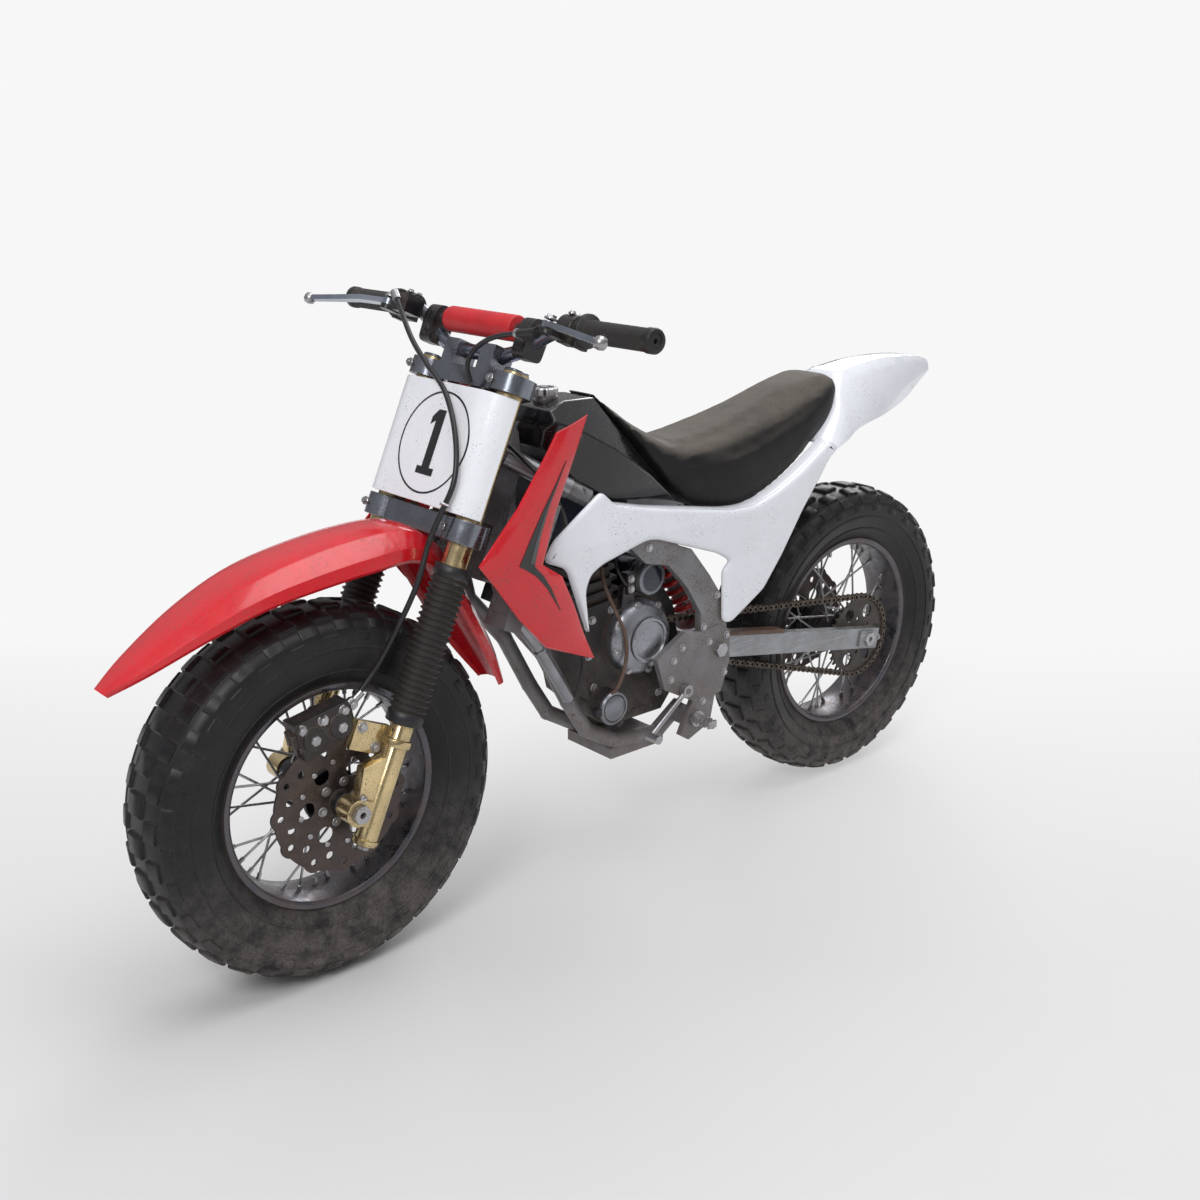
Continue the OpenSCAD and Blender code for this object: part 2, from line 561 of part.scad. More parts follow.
module main_frame() color([0.42, 0.42, 0.43]) {
    steer() difference() {
        union() {
            translate([0, 0, 3]) cylinder(h = 56, r = 9.5);
            // Gusset behind the head tube, down past the lower clamp to the cradle
            plate([[-5, 4], [-17.5, 3], [-17.5, -24], [-27, -24], [-25, 4], [-22, 36], [-14, 50], [-5, 54]], -6.5, 6.5);
        }
        translate([0, 0, 2]) cylinder(h = 58, r = stem_r + running);
    }
    in_bike() {
        difference() {
            union() {
                both_sides() {
                    // Spars run straight beside the tank and meet behind the head tube
                    plate([for (p = spar_outline) if (p[0] < 60) p, [46, 211], [46, 218]], 31, plate_out_y - 0.5);
                    plate(pivot_plate_outline, plate_in_y, plate_out_y);
                    bent_rod([for (p = cradle_path) [p[0], cradle_y, p[1]]], cradle_r);
                    // Foot of the pivot plate, carried down to the cradle
                    plate([[-30, 92], [-46, 92], [-42, 74], [-26, 68], [-20, 72]], plate_in_y, plate_out_y);
                    translate([-38, cradle_y, 73]) cube([8, plate_in_y - cradle_y + 1, 8]);
                    rod([42, 33, 212], [78, 8, 236], 4.5);
                }
                // Cross tubes and a flat pad for a work stand
                rod([-20, -33, 171], [-20, 33, 171], 3.5);
                rod([cradle_path[0][0], -cradle_y, cradle_path[0][1] - 1],
                    [cradle_path[0][0], cradle_y, cradle_path[0][1] - 1], 4);
                translate([-24, -cradle_y - 2, stand_z]) cube([38, 2 * cradle_y + 4, 6]);
            }
            translate([pivot[0], -50, pivot[1]]) rotate([-90, 0, 0]) cylinder(h = 100, r = axle_r + slip);
            translate([head_x, 0, head_z]) rotate([0, -rake, 0]) cylinder(h = 62, r = stem_r + running);
        }
        // Pin of the shift lever on the left pivot plate
        rod([shift_pivot[0], plate_out_y - 1, shift_pivot[1]], [shift_pivot[0], plate_out_y + 4, shift_pivot[1]], 1.5);
        // Lugs for the shock's upper eye, on the cross tube, with its pin
        both_sides() plate([[-20, 167.5], [-33, 172], [-34, 178], [-30, 181], [-20, 174.5]], 6, 9);
        rod([shock_top[0], -9, shock_top[1]], [shock_top[0], 9, shock_top[1]], 1.5);
    }
}

// ---------- body ----------

// Tank stations front to back: X, then height and half width of the top, shoulder and bottom edges
tank_stations = [
    [59, 248, 15, 245, 19, 237, 17], [54, 254.5, 19, 249.5, 23, 231, 22], [43, 257.5, 16, 245, 27, 219, 26],
    [20, 256, 11, 232, 29, 206, 26], [-4, 230, 12, 216, 27.5, 203, 24.5], [-26, 202, 18, 200, 22, 198, 22]];
function tank_ring(s) = [
    [s[0], s[2], s[1]], [s[0], s[4], s[3]], [s[0], s[6], s[5]],
    [s[0], -s[6], s[5]], [s[0], -s[4], s[3]], [s[0], -s[2], s[1]]];
cap_x = 42;

module fuel_tank() color([0.05, 0.05, 0.06]) in_bike() {
    difference() {
        skin([for (s = tank_stations) tank_ring(s)]);
        // Open underside over the battery
        translate([-2, -16.5, 190]) cube([54, 33, 31]);
    }
    translate([cap_x, 0, 256]) cylinder(h = 7, r = 6);
}

// Seat stations front to back: X, height of the top, its half width, shoulder, side and bottom
seat_stations = [
    [19.5, 260, 7, 259, 11, 257.5], [0, 243, 10, 241, 18, 236.5], [-24, 229.5, 11, 226, 24, 206.5],
    [-42, 227.5, 12, 224, 27, 192], [-70, 232, 13, 227, 28, 189], [-100, 239, 13, 233, 27, 197],
    [-128, 247, 13, 240, 25, 219], [-148, 251, 12, 246, 22, 233], [-157, 249.5, 9, 247.5, 17, 244]];
function seat_ring(s) = [
    [s[0], s[2], s[1]], [s[0], s[4] * 0.86, s[3]], [s[0], s[4], (s[3] + s[5]) / 2], [s[0], s[4] - 1, s[5]],
    [s[0], -s[4] + 1, s[5]], [s[0], -s[4], (s[3] + s[5]) / 2], [s[0], -s[4] * 0.86, s[3]], [s[0], -s[2], s[1]]];

module seat() color([0.08, 0.08, 0.085]) in_bike() skin([for (s = seat_stations) seat_ring(s)]);

panel_outline = [
    [38, 216], [29, 208], [4, 202], [-24, 197], [-52, 192], [-70, 191.5], [-86, 196], [-106, 205],
    [-129, 219], [-137, 214], [-130, 209], [-109, 183], [-93, 160], [-79, 143], [-54, 129], [-48, 131],
    [-47, 160], [-53, 164], [-43, 170], [0, 185], [8, 186], [20, 183], [37, 179], [45, 175], [48, 167],
    [47, 145], [60, 181], [74, 187], [68, 196]];
panel_in_y = panel_half_w - wall - 0.4;

module side_panel() {
    plate(panel_outline, panel_in_y, panel_half_w);
    // Upper flange that leans in under the seat
    plate([[16, 203], [4, 200], [-24, 195], [-52, 190], [-70, 189.5], [-86, 194], [-84, 191.5], [-70, 187],
           [-52, 187.5], [-24, 192], [4, 197], [16, 200]], 29.5, panel_in_y + 0.5);
}

module left_side_panel() color("white") in_bike() side_panel();

module right_side_panel() color("white") in_bike() mirror([0, 1, 0]) side_panel();

// Tail stations front to back: X, height and half width of the top edge, height and half width of the lower edge
tail_stations = [
    [-132, 217, 27, 211, 37], [-150, 231, 24, 215, 33], [-163, 248, 13, 219, 29], [-176, 251, 12, 221, 26],
    [-200, 253.5, 11, 223, 20], [-225, 253.5, 9, 228, 14], [-245, 251, 6, 236, 9], [-259, 247.4, 3.6, 241, 5.2]];
function tail_ring(s) =
    let (t = wall + 0.4, outer = [[s[4], s[3]], [s[4] * 0.9 + s[2] * 0.1, (s[1] + s[3]) / 2], [s[2], s[1]]])
    reversed(concat(
        [for (p = outer) [s[0], p[0], p[1]]],
        [for (i = [2 : -1 : 0]) [s[0], -outer[i][0], outer[i][1]]],
        [for (i = [0 : 2]) [s[0], -max(outer[i][0] - t, 0.6), outer[i][1] - (i == 2 ? t : 0)]],
        [for (i = [2 : -1 : 0]) [s[0], max(outer[i][0] - t, 0.6), outer[i][1] - (i == 2 ? t : 0)]]));

module tail_fairing() color("white") in_bike() skin([for (s = tail_stations) tail_ring(s)]);

// Shroud rungs from its top tip, over the fold at its widest, to its bottom tip:
// front X, Z and distance from the middle plane, then the same at the rear edge
shroud_rungs = [
    [72, 250, 46.5, 53, 256, 46], [79, 241, 47.5, 59, 243, 46.5], [97, 219, 49, 66, 229, 47],
    [112, 204, 49.6, 74, 214, 48], [120, 196, shroud_half_w, 83, 190, 49], [112, 186, 49.8, 71, 182, 48.4],
    [97, 166, 48.8, 63, 166, 47.4], [80, 148, 47, 56, 150, 46], [52, 136, 44.6, 48, 135, 44.4]];
shroud_crease = 1.6;
function shroud_ring(s) =
    let (outer = [[s[0], s[2], s[1]],
                  [(s[0] + s[3]) / 2, (s[2] + s[5]) / 2 + shroud_crease * (s[0] - s[3]) / 37, (s[1] + s[4]) / 2],
                  [s[3], s[5], s[4]]])
    concat(reversed(outer), [for (p = outer) p - [0, wall, 0]]);

module shroud() {
    skin([for (s = shroud_rungs) shroud_ring(s)]);
    // Round lug that reaches in to the radiator
    rod([86, 37.4, 176], [86, 49, 176], 3);
}

module left_shroud() color([0.8, 0.05, 0.08]) in_bike() shroud();

module right_shroud() color([0.8, 0.05, 0.08]) in_bike() mirror([0, 1, 0]) shroud();

module radiators() color([0.3, 0.3, 0.31]) steer() both_sides() difference() {
    translate([-28, 21, -42]) cube([10, 16, 64]);
    for (i = [0 : 9]) translate([-18.8, 23, -38 + 6 * i]) cube([2, 12, 3]);
}

// ---------- engine and drive ----------

spur_r = gear_module * spur_teeth / 2;
pinion_r = gear_module * pinion_teeth / 2;
gear_y = [-18, -14];
gear_room = 1.4;
cover_r = 20.5;
shaft_r = 2.5;
case_outline = [
    [30, 150], [33, 118], [28, 96], [12, 82], [-22, 82], [-34, 96], [-35, 116], [-30, 140], [-22, 152], [8, 152]];

// Room for the gear pair, about the left-right axis
module gear_chamber(y0, y1) {
    translate([countershaft[0], y0, countershaft[1]]) rotate([-90, 0, 0]) cylinder(h = y1 - y0, r = spur_r + gear_room);
    translate([motor[0], y0, motor[1]]) rotate([-90, 0, 0]) cylinder(h = y1 - y0, r = pinion_r + gear_room);
}

module engine_case() color([0.2, 0.2, 0.21]) in_bike() {
    difference() {
        union() {
            plate(case_outline, -19, 18);
            // Cylinder with its head, in front of the motor
            plate([[10, 150], [30, 150], [34, 184], [16, 188]], -15, 15);
            for (i = [0 : 4]) plate(
                [[9 + i, 156 + 6 * i], [33 + i * 0.6, 154 + 6 * i], [33 + i * 0.6, 156 + 6 * i], [9 + i, 158 + 6 * i]],
                -18, 18);
            // Round housing at the gear end of the motor and of the gears
            translate([motor[0], -19, motor[1]]) rotate([-90, 0, 0]) cylinder(h = 10, r = pinion_r + gear_room + 1.6);
            translate([countershaft[0], -19, countershaft[1]]) rotate([-90, 0, 0])
                cylinder(h = 12, r = spur_r + gear_room + 1.6);
            // Oil filter housing low on the left
            translate([20.5, 10, 96]) rotate([-90, 0, 0]) cylinder(h = 17, r = 9);
            translate([20.5, 10, 96]) rotate([-90, 0, 0]) cylinder(h = 18.5, r = 7.6);
        }
        gear_chamber(-25, -13);
        translate([motor[0], -13.5, motor[1]]) rotate([-90, 0, 0]) cylinder(h = 60, r = motor_r + slip);
        translate([countershaft[0], -30, countershaft[1]]) rotate([-90, 0, 0])
            cylinder(h = 60, r = shaft_r + running);
        // Recess for the sprocket and the chain on the left
        translate([countershaft[0], 12, countershaft[1]]) rotate([-90, 0, 0]) cylinder(h = 20, r = 15);
        plate([[-2, 142], [-60, 150], [-60, 90], [-2, 116]], 18.2, 30);
    }
}

module clutch_cover() color([0.3, 0.32, 0.36]) in_bike()
    translate([countershaft[0], 0, countershaft[1]]) rotate([-90, 0, 0]) difference() {
        rotate_extrude() polygon([
            [0, 25.8], [14.5, 25.8], [14.5, 18.2], [cover_r, 18.2], [cover_r, 24], [cover_r - 2, 27.5], [12, 30],
            [11.5, 31.5], [0, 31.8]]);
        // The chain leaves through the back of the cover
        rotate(168) translate([2, -14, 17]) cube([30, 31, 8.8]);
    }

module gear_cover() color([0.3, 0.32, 0.36]) in_bike() difference() {
    union() {
        translate([countershaft[0], -22, countershaft[1]]) rotate([-90, 0, 0])
            cylinder(h = 2.9, r = spur_r + gear_room + 1.6);
        translate([motor[0], -22, motor[1]]) rotate([-90, 0, 0]) cylinder(h = 2.9, r = pinion_r + gear_room + 1.6);
    }
    translate([countershaft[0], -20.5, countershaft[1]]) rotate([-90, 0, 0]) cylinder(h = 5, r = shaft_r + running);
    translate([motor[0], -20.5, motor[1]]) rotate([-90, 0, 0]) cylinder(h = 5, r = 1.5 + running);
}

motor_r = 8.6;

module drive_motor() color([0.12, 0.15, 0.2]) in_bike() translate([motor[0], 0, motor[1]]) rotate([-90, 0, 0])
    difference() {
        rotate_extrude() polygon([
            [0, -13], [motor_r, -13], [motor_r, 17], [motor_r - 0.8, 17.5], [motor_r - 0.8, 18.5], [motor_r, 19],
            [motor_r, 25], [motor_r - 1.5, 26.5], [0, 26.5]]);
        translate([0, 0, -14]) cylinder(h = 12, r = 1.5 + running);
    }

module motor_pinion() color([0.75, 0.6, 0.3]) in_bike() translate([motor[0], 0, motor[1]]) rotate([-90, 0, 0]) {
    translate([0, 0, gear_y[0]]) linear_extrude(gear_y[1] - gear_y[0])
        polygon(gear_outline(pinion_teeth, 90 - gear_lean + 180 / pinion_teeth));
    translate([0, 0, -19.8]) cylinder(h = 15, r = 1.5);
}

module spur_gear() color([0.6, 0.6, 0.62])
    in_bike() translate([countershaft[0], 0, countershaft[1]]) rotate([-90, 0, 0]) {
        translate([0, 0, gear_y[0]]) difference() {
            linear_extrude(gear_y[1] - gear_y[0]) polygon(gear_outline(spur_teeth, -90 - gear_lean));
            for (i = [0 : 5]) rotate(i * 60) translate([13.5, 0, -1]) cylinder(h = 8, r = 4.2);
        }
        translate([0, 0, -20]) cylinder(h = 45, r = shaft_r);
    }

module front_sprocket() color([0.5, 0.48, 0.46])
    in_bike() translate([countershaft[0], 0, countershaft[1]]) rotate([-90, 0, 0])
        translate([0, 0, chain_y - 0.6]) difference() {
            union() {
                linear_extrude(1.2) polygon(sprocket_outline(
                    front_teeth, sprocket_front_r,
                    sprocket_angle(chain_step * ceil((2 * chain_run + rear_wrap) / chain_step), countershaft)));
                translate([0, 0, -3]) cylinder(h = 3.5, r = 4.5);
            }
            translate([0, 0, -5]) cylinder(h = 10, r = shaft_r + slip);
        }

module chain() color([0.3, 0.27, 0.24]) in_bike() {
    steps = [for (i = [0 : chain_links - 1]) i * chain_length / chain_links];
    for (s = steps) let (p = chain_point(s))
        translate([p[0], chain_y - 1.3, p[1]]) rotate([-90, 0, 0]) cylinder(h = 2.6, r = roller_r, $fn = 24);
    for (y = [chain_y - 1.3, chain_y + 0.75]) translate([0, y + 0.55, 0]) rotate([90, 0, 0]) linear_extrude(0.55)
        difference() {
            polygon([for (s = steps) chain_point(s, 1.6)]);
            polygon([for (s = steps) chain_point(s, -1.6)]);
        }
}

// ---------- inside: battery, electronics, steering servo ----------

module battery() color([0.1, 0.25, 0.6]) in_bike() translate([0, -15, 190]) cube([50, 30, 29]);

module electronics_box() color([0.15, 0.15, 0.16]) in_bike() {
    translate([-85, -14, 170]) cube([32, 28, 12]);
    for (i = [0 : 5]) translate([-83 + 5 * i, -12, 181.5]) cube([2, 24, 2.5]);
}

servo_arm_l = 10;
servo_u = -44;
link_u = 0;
link_y = -servo_arm_l;

module steering_servo() color([0.12, 0.12, 0.13]) steer() {
    translate([servo_u - 16, -7, -33]) cube([26, 14, 18]);
    translate([servo_u - 21, -7, -22]) cube([36, 14, 2]);
    translate([servo_u, 0, -16]) cylinder(h = 6.5, r = 2.4);
}

module servo_arm() color("white") steer() translate([servo_u, 0, -12]) {
    difference() {
        union() {
            translate([0, 0, 0.1]) cylinder(h = 3.9, r = 4.5);
            translate([-2.5, -servo_arm_l, 2]) cube([5, servo_arm_l, 2]);
            translate([0, -servo_arm_l, 2]) cylinder(h = 2, r = 2.5);
        }
        translate([0, 0, -1]) cylinder(h = 3.6, r = 2.4 + running);
    }
    translate([0, -servo_arm_l, -2]) cylinder(h = 5, r = 1.5);
}

module steering_link() color("silver") steer() difference() {
    union() {
        for (u = [servo_u, link_u]) translate([u, link_y, -14]) cylinder(h = 2.4, r = 3);
        translate([servo_u + 1, link_y - 1.2, -13.8]) cube([link_u - servo_u - 2, 2.4, 2]);
    }
    for (u = [servo_u, link_u]) translate([u, link_y, -16]) cylinder(h = 6, r = 1.5 + running);
}

// ---------- swingarm, shock, pegs ----------

module swingarm() color([0.5, 0.5, 0.51]) in_bike() {
    drop = [rear_x, tyre_r] - pivot;
    a = atan2(drop[1], drop[0]);
    half_h = 6.2;
    difference() {
        union() {
            both_sides() {
                plate([for (p = [[0, -half_h], [norm(drop) + 10, -half_h], [norm(drop) + 10, half_h],
                                 [0, half_h]])
                    pivot + [p[0] * cos(a) - p[1] * sin(a), p[0] * sin(a) + p[1] * cos(a)]], arm_in_y, arm_out_y);
                translate([pivot[0], arm_in_y, pivot[1]]) rotate([-90, 0, 0]) cylinder(h = arm_out_y - arm_in_y, r = 7.5);
            }
            rod([shock_low[0], -arm_in_y - 1, shock_low[1]], [shock_low[0], arm_in_y + 1, shock_low[1]], 4.6);
        }
        translate([pivot[0], -50, pivot[1]]) rotate([-90, 0, 0]) cylinder(h = 100, r = axle_r + running);
        translate([rear_x, -50, tyre_r]) rotate([-90, 0, 0]) cylinder(h = 100, r = axle_r + slip);
        // Slot in the cross tube for the shock's lower eye
        translate([shock_low[0] - 8, -4.2, shock_low[1] - 8]) cube([16, 8.4, 16]);
    }
    rod([shock_low[0], -5, shock_low[1]], [shock_low[0], 5, shock_low[1]], 1.5);
    // Tab that carries the rear calliper
    plate([[rear_x + 14, tyre_r + 4], [rear_x + 30, tyre_r + 8], [rear_x + 26, tyre_r + 34], [rear_x + 12, tyre_r + 34]],
          -arm_in_y - 3.5, -arm_in_y - 0.2);
}

module pivot_bolt() color("silver") in_bike() translate([pivot[0], 0, pivot[1]]) rotate([-90, 0, 0]) {
    translate([0, 0, -plate_out_y - 1]) cylinder(h = 2 * plate_out_y + 2, r = axle_r);
    for (s = [0, 1]) mirror([0, 0, s]) translate([0, 0, plate_out_y + slip]) cylinder(h = 2.6, r = 4.2, $fn = 6);
}

shock_len = norm(shock_top - shock_low);
shock_lean = atan2(shock_top[0] - shock_low[0], shock_top[1] - shock_low[1]);
shock_rod_r = 2.2;
spring_r = 9;
spring_wire = 1.2;

// Puts a piece on the shock's axis, with Z pointing up from the lower eye to the upper one
module on_shock() in_bike() translate([shock_low[0], 0, shock_low[1]]) rotate([0, shock_lean, 0]) children();

module eye(z) translate([0, -4, z]) rotate([-90, 0, 0]) children();

module shock_body() color([0.55, 0.55, 0.58]) on_shock() {
    difference() {
        union() {
            translate([0, 0, 30]) cylinder(h = shock_len - 34, r = 5.5);
            translate([0, 0, shock_len - 16]) cylinder(h = 3, r = 10.6);
            eye(shock_len) cylinder(h = 8, r = 4.6);
        }
        translate([0, 0, 25]) cylinder(h = 30, r = shock_rod_r + running);
        translate([0, -10, shock_len]) rotate([-90, 0, 0]) cylinder(h = 20, r = 1.6);
    }
}

module shock_shaft() color("silver") on_shock() difference() {
    union() {
        translate([0, 0, 3]) cylinder(h = 42, r = shock_rod_r);
        translate([0, 0, 8]) cylinder(h = 3, r = 10.6);
        eye(0) cylinder(h = 8, r = 4);
    }
    translate([0, -10, 0]) rotate([-90, 0, 0]) cylinder(h = 20, r = 2.1);
}

// Closed coil, skinned round a helix
module shock_spring() color([0.8, 0.05, 0.05]) on_shock() {
    z0 = 11 + spring_wire + 0.1;
    z1 = shock_len - 16 - spring_wire - 0.1;
    turns = 7.5;
    steps = 18 * turns;
    sides = 8;
    skin([for (i = [0 : steps]) let (a = 360 * turns * i / steps, z = z0 + (z1 - z0) * i / steps)
        [for (k = [0 : sides - 1]) let (b = -360 * k / sides, r = spring_r + spring_wire * cos(b))
            [r * cos(a), r * sin(a), z + spring_wire * sin(b)]]]);
}

module foot_pegs() color([0.1, 0.1, 0.11]) in_bike() both_sides() {
    translate([-30, plate_out_y + slip, 80]) rotate([-90, 0, 0]) cylinder(h = 3, r = 4.5);
    translate([-30, plate_out_y + 2.5, 80]) rotate([-90, 0, 0]) cylinder(h = 12, r = 2.4);
    for (i = [0 : 3]) translate([-33, plate_out_y + 4 + 3 * i, 78]) cube([6, 1.2, 4]);
}

shift_pivot = [-22, 98];

module shift_lever() color([0.1, 0.1, 0.11]) in_bike() difference() {
    union() {
        rod([shift_pivot[0], 38, shift_pivot[1]], [6, 40, 80], 1.45);
        rod([6, 38.5, 80], [6, 47, 80], 2.3);
        translate([shift_pivot[0], 36.4, shift_pivot[1]]) rotate([-90, 0, 0]) cylinder(h = 3.2, r = 3.4);
    }
    translate([shift_pivot[0], 30, shift_pivot[1]]) rotate([-90, 0, 0]) cylinder(h = 20, r = 1.5 + running);
}

// ---------- drawing ----------

main_frame();
radiators();
fuel_tank();
seat();
left_side_panel();
right_side_panel();
tail_fairing();
left_shroud();
right_shroud();
engine_case();
clutch_cover();
gear_cover();
drive_motor();
battery();
electronics_box();
steering_servo();
pivot_bolt();
foot_pegs();
servo_arm();
steering_link();
shift_lever();
upper_clamp();
lower_clamp();
fork_tubes();
number_plate();
front_fender();
handlebar();
bar_pad();
left_grip();
clutch_perch();
brake_master();
control_cables();
brake_lever();
clutch_lever();
throttle_grip();
fork_legs();
fork_boots();
front_axle();
front_calliper();
front_tyre();
front_rim();
front_spokes();
front_hub();
front_disc();
swingarm();
rear_axle();
chain();
rear_calliper();
rear_tyre();
rear_rim();
rear_spokes();
rear_hub();
rear_disc();
rear_sprocket();
front_sprocket();
spur_gear();
motor_pinion();
shock_body();
shock_shaft();
shock_spring();
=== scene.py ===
"""Looks of a radio-controlled motorcycle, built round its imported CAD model.

Shapes are written in millimetres in a local frame (the bike's, the steering head's or an axle's) and placed
in metres in the shared frame. Everything that is seen is either a rounded copy of a CAD node or built here.
"""

import json
import math

import bmesh
import bpy
from mathutils import Matrix, Vector
from mathutils.geometry import tessellate_polygon

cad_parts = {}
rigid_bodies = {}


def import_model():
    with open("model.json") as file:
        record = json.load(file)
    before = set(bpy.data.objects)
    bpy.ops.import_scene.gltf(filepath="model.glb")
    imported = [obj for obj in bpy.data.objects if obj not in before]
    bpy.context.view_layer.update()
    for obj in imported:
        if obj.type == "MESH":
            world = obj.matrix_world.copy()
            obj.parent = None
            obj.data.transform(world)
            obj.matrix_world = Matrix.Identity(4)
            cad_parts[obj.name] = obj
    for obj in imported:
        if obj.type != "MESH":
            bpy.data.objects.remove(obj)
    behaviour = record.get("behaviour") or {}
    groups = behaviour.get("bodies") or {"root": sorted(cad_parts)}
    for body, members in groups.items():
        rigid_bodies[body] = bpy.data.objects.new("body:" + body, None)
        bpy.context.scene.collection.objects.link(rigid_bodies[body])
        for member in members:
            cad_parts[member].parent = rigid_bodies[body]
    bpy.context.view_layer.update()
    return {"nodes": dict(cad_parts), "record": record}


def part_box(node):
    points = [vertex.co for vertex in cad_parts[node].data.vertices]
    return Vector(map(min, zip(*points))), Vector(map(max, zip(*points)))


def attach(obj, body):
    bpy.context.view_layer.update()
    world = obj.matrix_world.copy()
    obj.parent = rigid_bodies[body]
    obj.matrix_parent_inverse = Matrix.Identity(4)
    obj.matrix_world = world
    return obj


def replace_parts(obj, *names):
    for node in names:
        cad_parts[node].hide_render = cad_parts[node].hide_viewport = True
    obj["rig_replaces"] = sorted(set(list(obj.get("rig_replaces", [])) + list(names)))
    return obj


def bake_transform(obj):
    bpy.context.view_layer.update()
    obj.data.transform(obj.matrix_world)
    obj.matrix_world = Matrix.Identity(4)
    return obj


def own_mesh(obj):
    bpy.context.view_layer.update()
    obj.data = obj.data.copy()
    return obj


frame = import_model()

MM = 0.001
SCALE = Matrix.Diagonal((MM, MM, MM, 1))
JOINTS = {j["name"]: j for j in frame["record"]["behaviour"]["joints"]}
BODY_OF = {n: b for b, nodes in frame["record"]["behaviour"]["bodies"].items() for n in nodes}
SLOT_OF = {s["node"]: s["material_slot"] for s in frame["record"]["subparts"]}


# ---------- frames of reference ----------

def middle(node):
    low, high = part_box(node)
    return (Vector(low) + Vector(high)) / 2


FRONT_AXLE = middle("front_axle")
REAR_AXLE = middle("rear_axle")
HEAD = Vector(JOINTS["steering"]["pos_m"])
STEER_AXIS = Vector(JOINTS["steering"]["axis"]).normalized()
RAKE = math.atan2(-STEER_AXIS.x, STEER_AXIS.z)

BIKE = Matrix.Translation(((FRONT_AXLE.x + REAR_AXLE.x) / 2, 0, 0)) @ SCALE
STEER = Matrix.Translation(HEAD) @ Matrix.Rotation(-RAKE, 4, "Y") @ SCALE


def on_axle(centre):
    """Local Z points to the bike's left, local X forward, with the origin on the middle plane."""
    return Matrix.Translation((centre.x, 0, centre.z)) @ Matrix.Rotation(-math.pi / 2, 4, "X") @ SCALE


FRONT = on_axle(FRONT_AXLE)
REAR = on_axle(REAR_AXLE)
CRANK = on_axle(Vector(JOINTS["countershaft_spin"]["pos_m"]))
MOTOR = on_axle(Vector(JOINTS["motor_spin"]["pos_m"]))

# ---------- shape helpers: each returns (points, faces) in millimetres ----------


def merged(*shapes):
    points, faces = [], []
    for some_points, some_faces in shapes:
        base = len(points)
        points += some_points
        faces += [[base + i for i in face] for face in some_faces]
    return points, faces


def moved(shape, matrix):
    return [matrix @ Vector(p) for p in shape[0]], shape[1]


def shift(x, y, z):
    return Matrix.Translation((x, y, z))


def turn(degrees, axis="Z"):
    return Matrix.Rotation(math.radians(degrees), 4, axis)


def flipped(shape):
    """Mirrored across the middle plane, with the faces turned back outwards."""
    points = [Vector((p[0], -p[1], p[2])) for p in shape[0]]
    return points, [list(reversed(face)) for face in shape[1]]


def both(shape):
    return merged(shape, flipped(shape))


SIDES = (("left", lambda shape: shape), ("right", flipped))


def mirrored_ring(x, half):
    """Closed ring at a place along the bike from its left half, given as (y, z) from the top down."""
    return [(x, y, z) for y, z in half] + [(x, -y, z) for y, z in reversed(half)]


def circle(radius, steps, z=0.0):
    return [(radius * math.cos(2 * math.pi * i / steps), radius * math.sin(2 * math.pi * i / steps), z)
            for i in range(steps)]


def loft(rings, cap=True, ring_closed=True, loop=False):
    """Skin over rings with the same number of points each."""
    n, m = len(rings[0]), len(rings)
    points = [Vector(p) for ring in rings for p in ring]
    faces = []
    for j in range(m if loop else m - 1):
        for i in range(n if ring_closed else n - 1):
            a, b = j * n + i, j * n + (i + 1) % n
            c, d = ((j + 1) % m) * n + (i + 1) % n, ((j + 1) % m) * n + i
            faces.append([a, b, c, d])
    if cap and not loop:
        faces.append(list(reversed(range(n))))
        faces.append([(m - 1) * n + i for i in range(n)])
    return points, faces


def lathe(profile, steps=72):
    """Closed (radius, z) profile turned about Z."""
    rings = []
    for i in range(steps):
        a = 2 * math.pi * i / steps
        rings.append([(r * math.cos(a), r * math.sin(a), z) for r, z in profile])
    return loft(rings, loop=True)


def disc(radius, z0, z1, steps=40, edge=0.0):
    """Round bar about Z, with its rims chamfered by edge."""
    profile = [(radius - edge, z0), (radius, z0 + edge), (radius, z1 - edge), (radius - edge, z1)]
    return loft([circle(r, steps, z) for r, z in profile])


def block(x0, x1, y0, y1, z0, z1):
    ring = [(x0, y0), (x1, y0), (x1, y1), (x0, y1)]
    return loft([[(x, y, z0) for x, y in ring], [(x, y, z1) for x, y in ring]])


def prism(outline, z0, z1):
    """Outline in X, Y (anticlockwise) raised from z0 to z1."""
    return loft([[(x, y, z0) for x, y in outline], [(x, y, z1) for x, y in outline]])


def slab(outline, y0, y1):
    """Outline in X, Z of the bike, between two distances from the middle plane."""
    rings = [[(x, y0, z) for x, z in outline], [(x, y1, z) for x, z in outline]]
    return outward(loft(rings))


def outward(shape):
    """Turns the faces of a closed shape so that its volume is positive."""
    points, faces = shape
    volume = 0
    for face in faces:
        for i in range(1, len(face) - 1):
            volume += Vector(points[face[0]]).dot(Vector(points[face[i]]).cross(Vector(points[face[i + 1]])))
    return (points, faces) if volume > 0 else (points, [list(reversed(f)) for f in faces])


def curve(path, steps=8, closed=False):
    """Points on a smooth line through a few given ones."""
    path = [Vector(p) for p in path]
    n = len(path)
    out = []
    for i in range(n if closed else n - 1):
        a = path[(i - 1) % n] if closed else path[max(i - 1, 0)]
        b, c = path[i], path[(i + 1) % n]
        d = path[(i + 2) % n] if closed else path[min(i + 2, n - 1)]
        for k in range(steps):
            t = k / steps
            out.append(0.5 * (2 * b + (c - a) * t + (2 * a - 5 * b + 4 * c - d) * t * t
                              + (3 * b - a - 3 * c + d) * t * t * t))
    if not closed:
        out.append(path[-1])
    return out


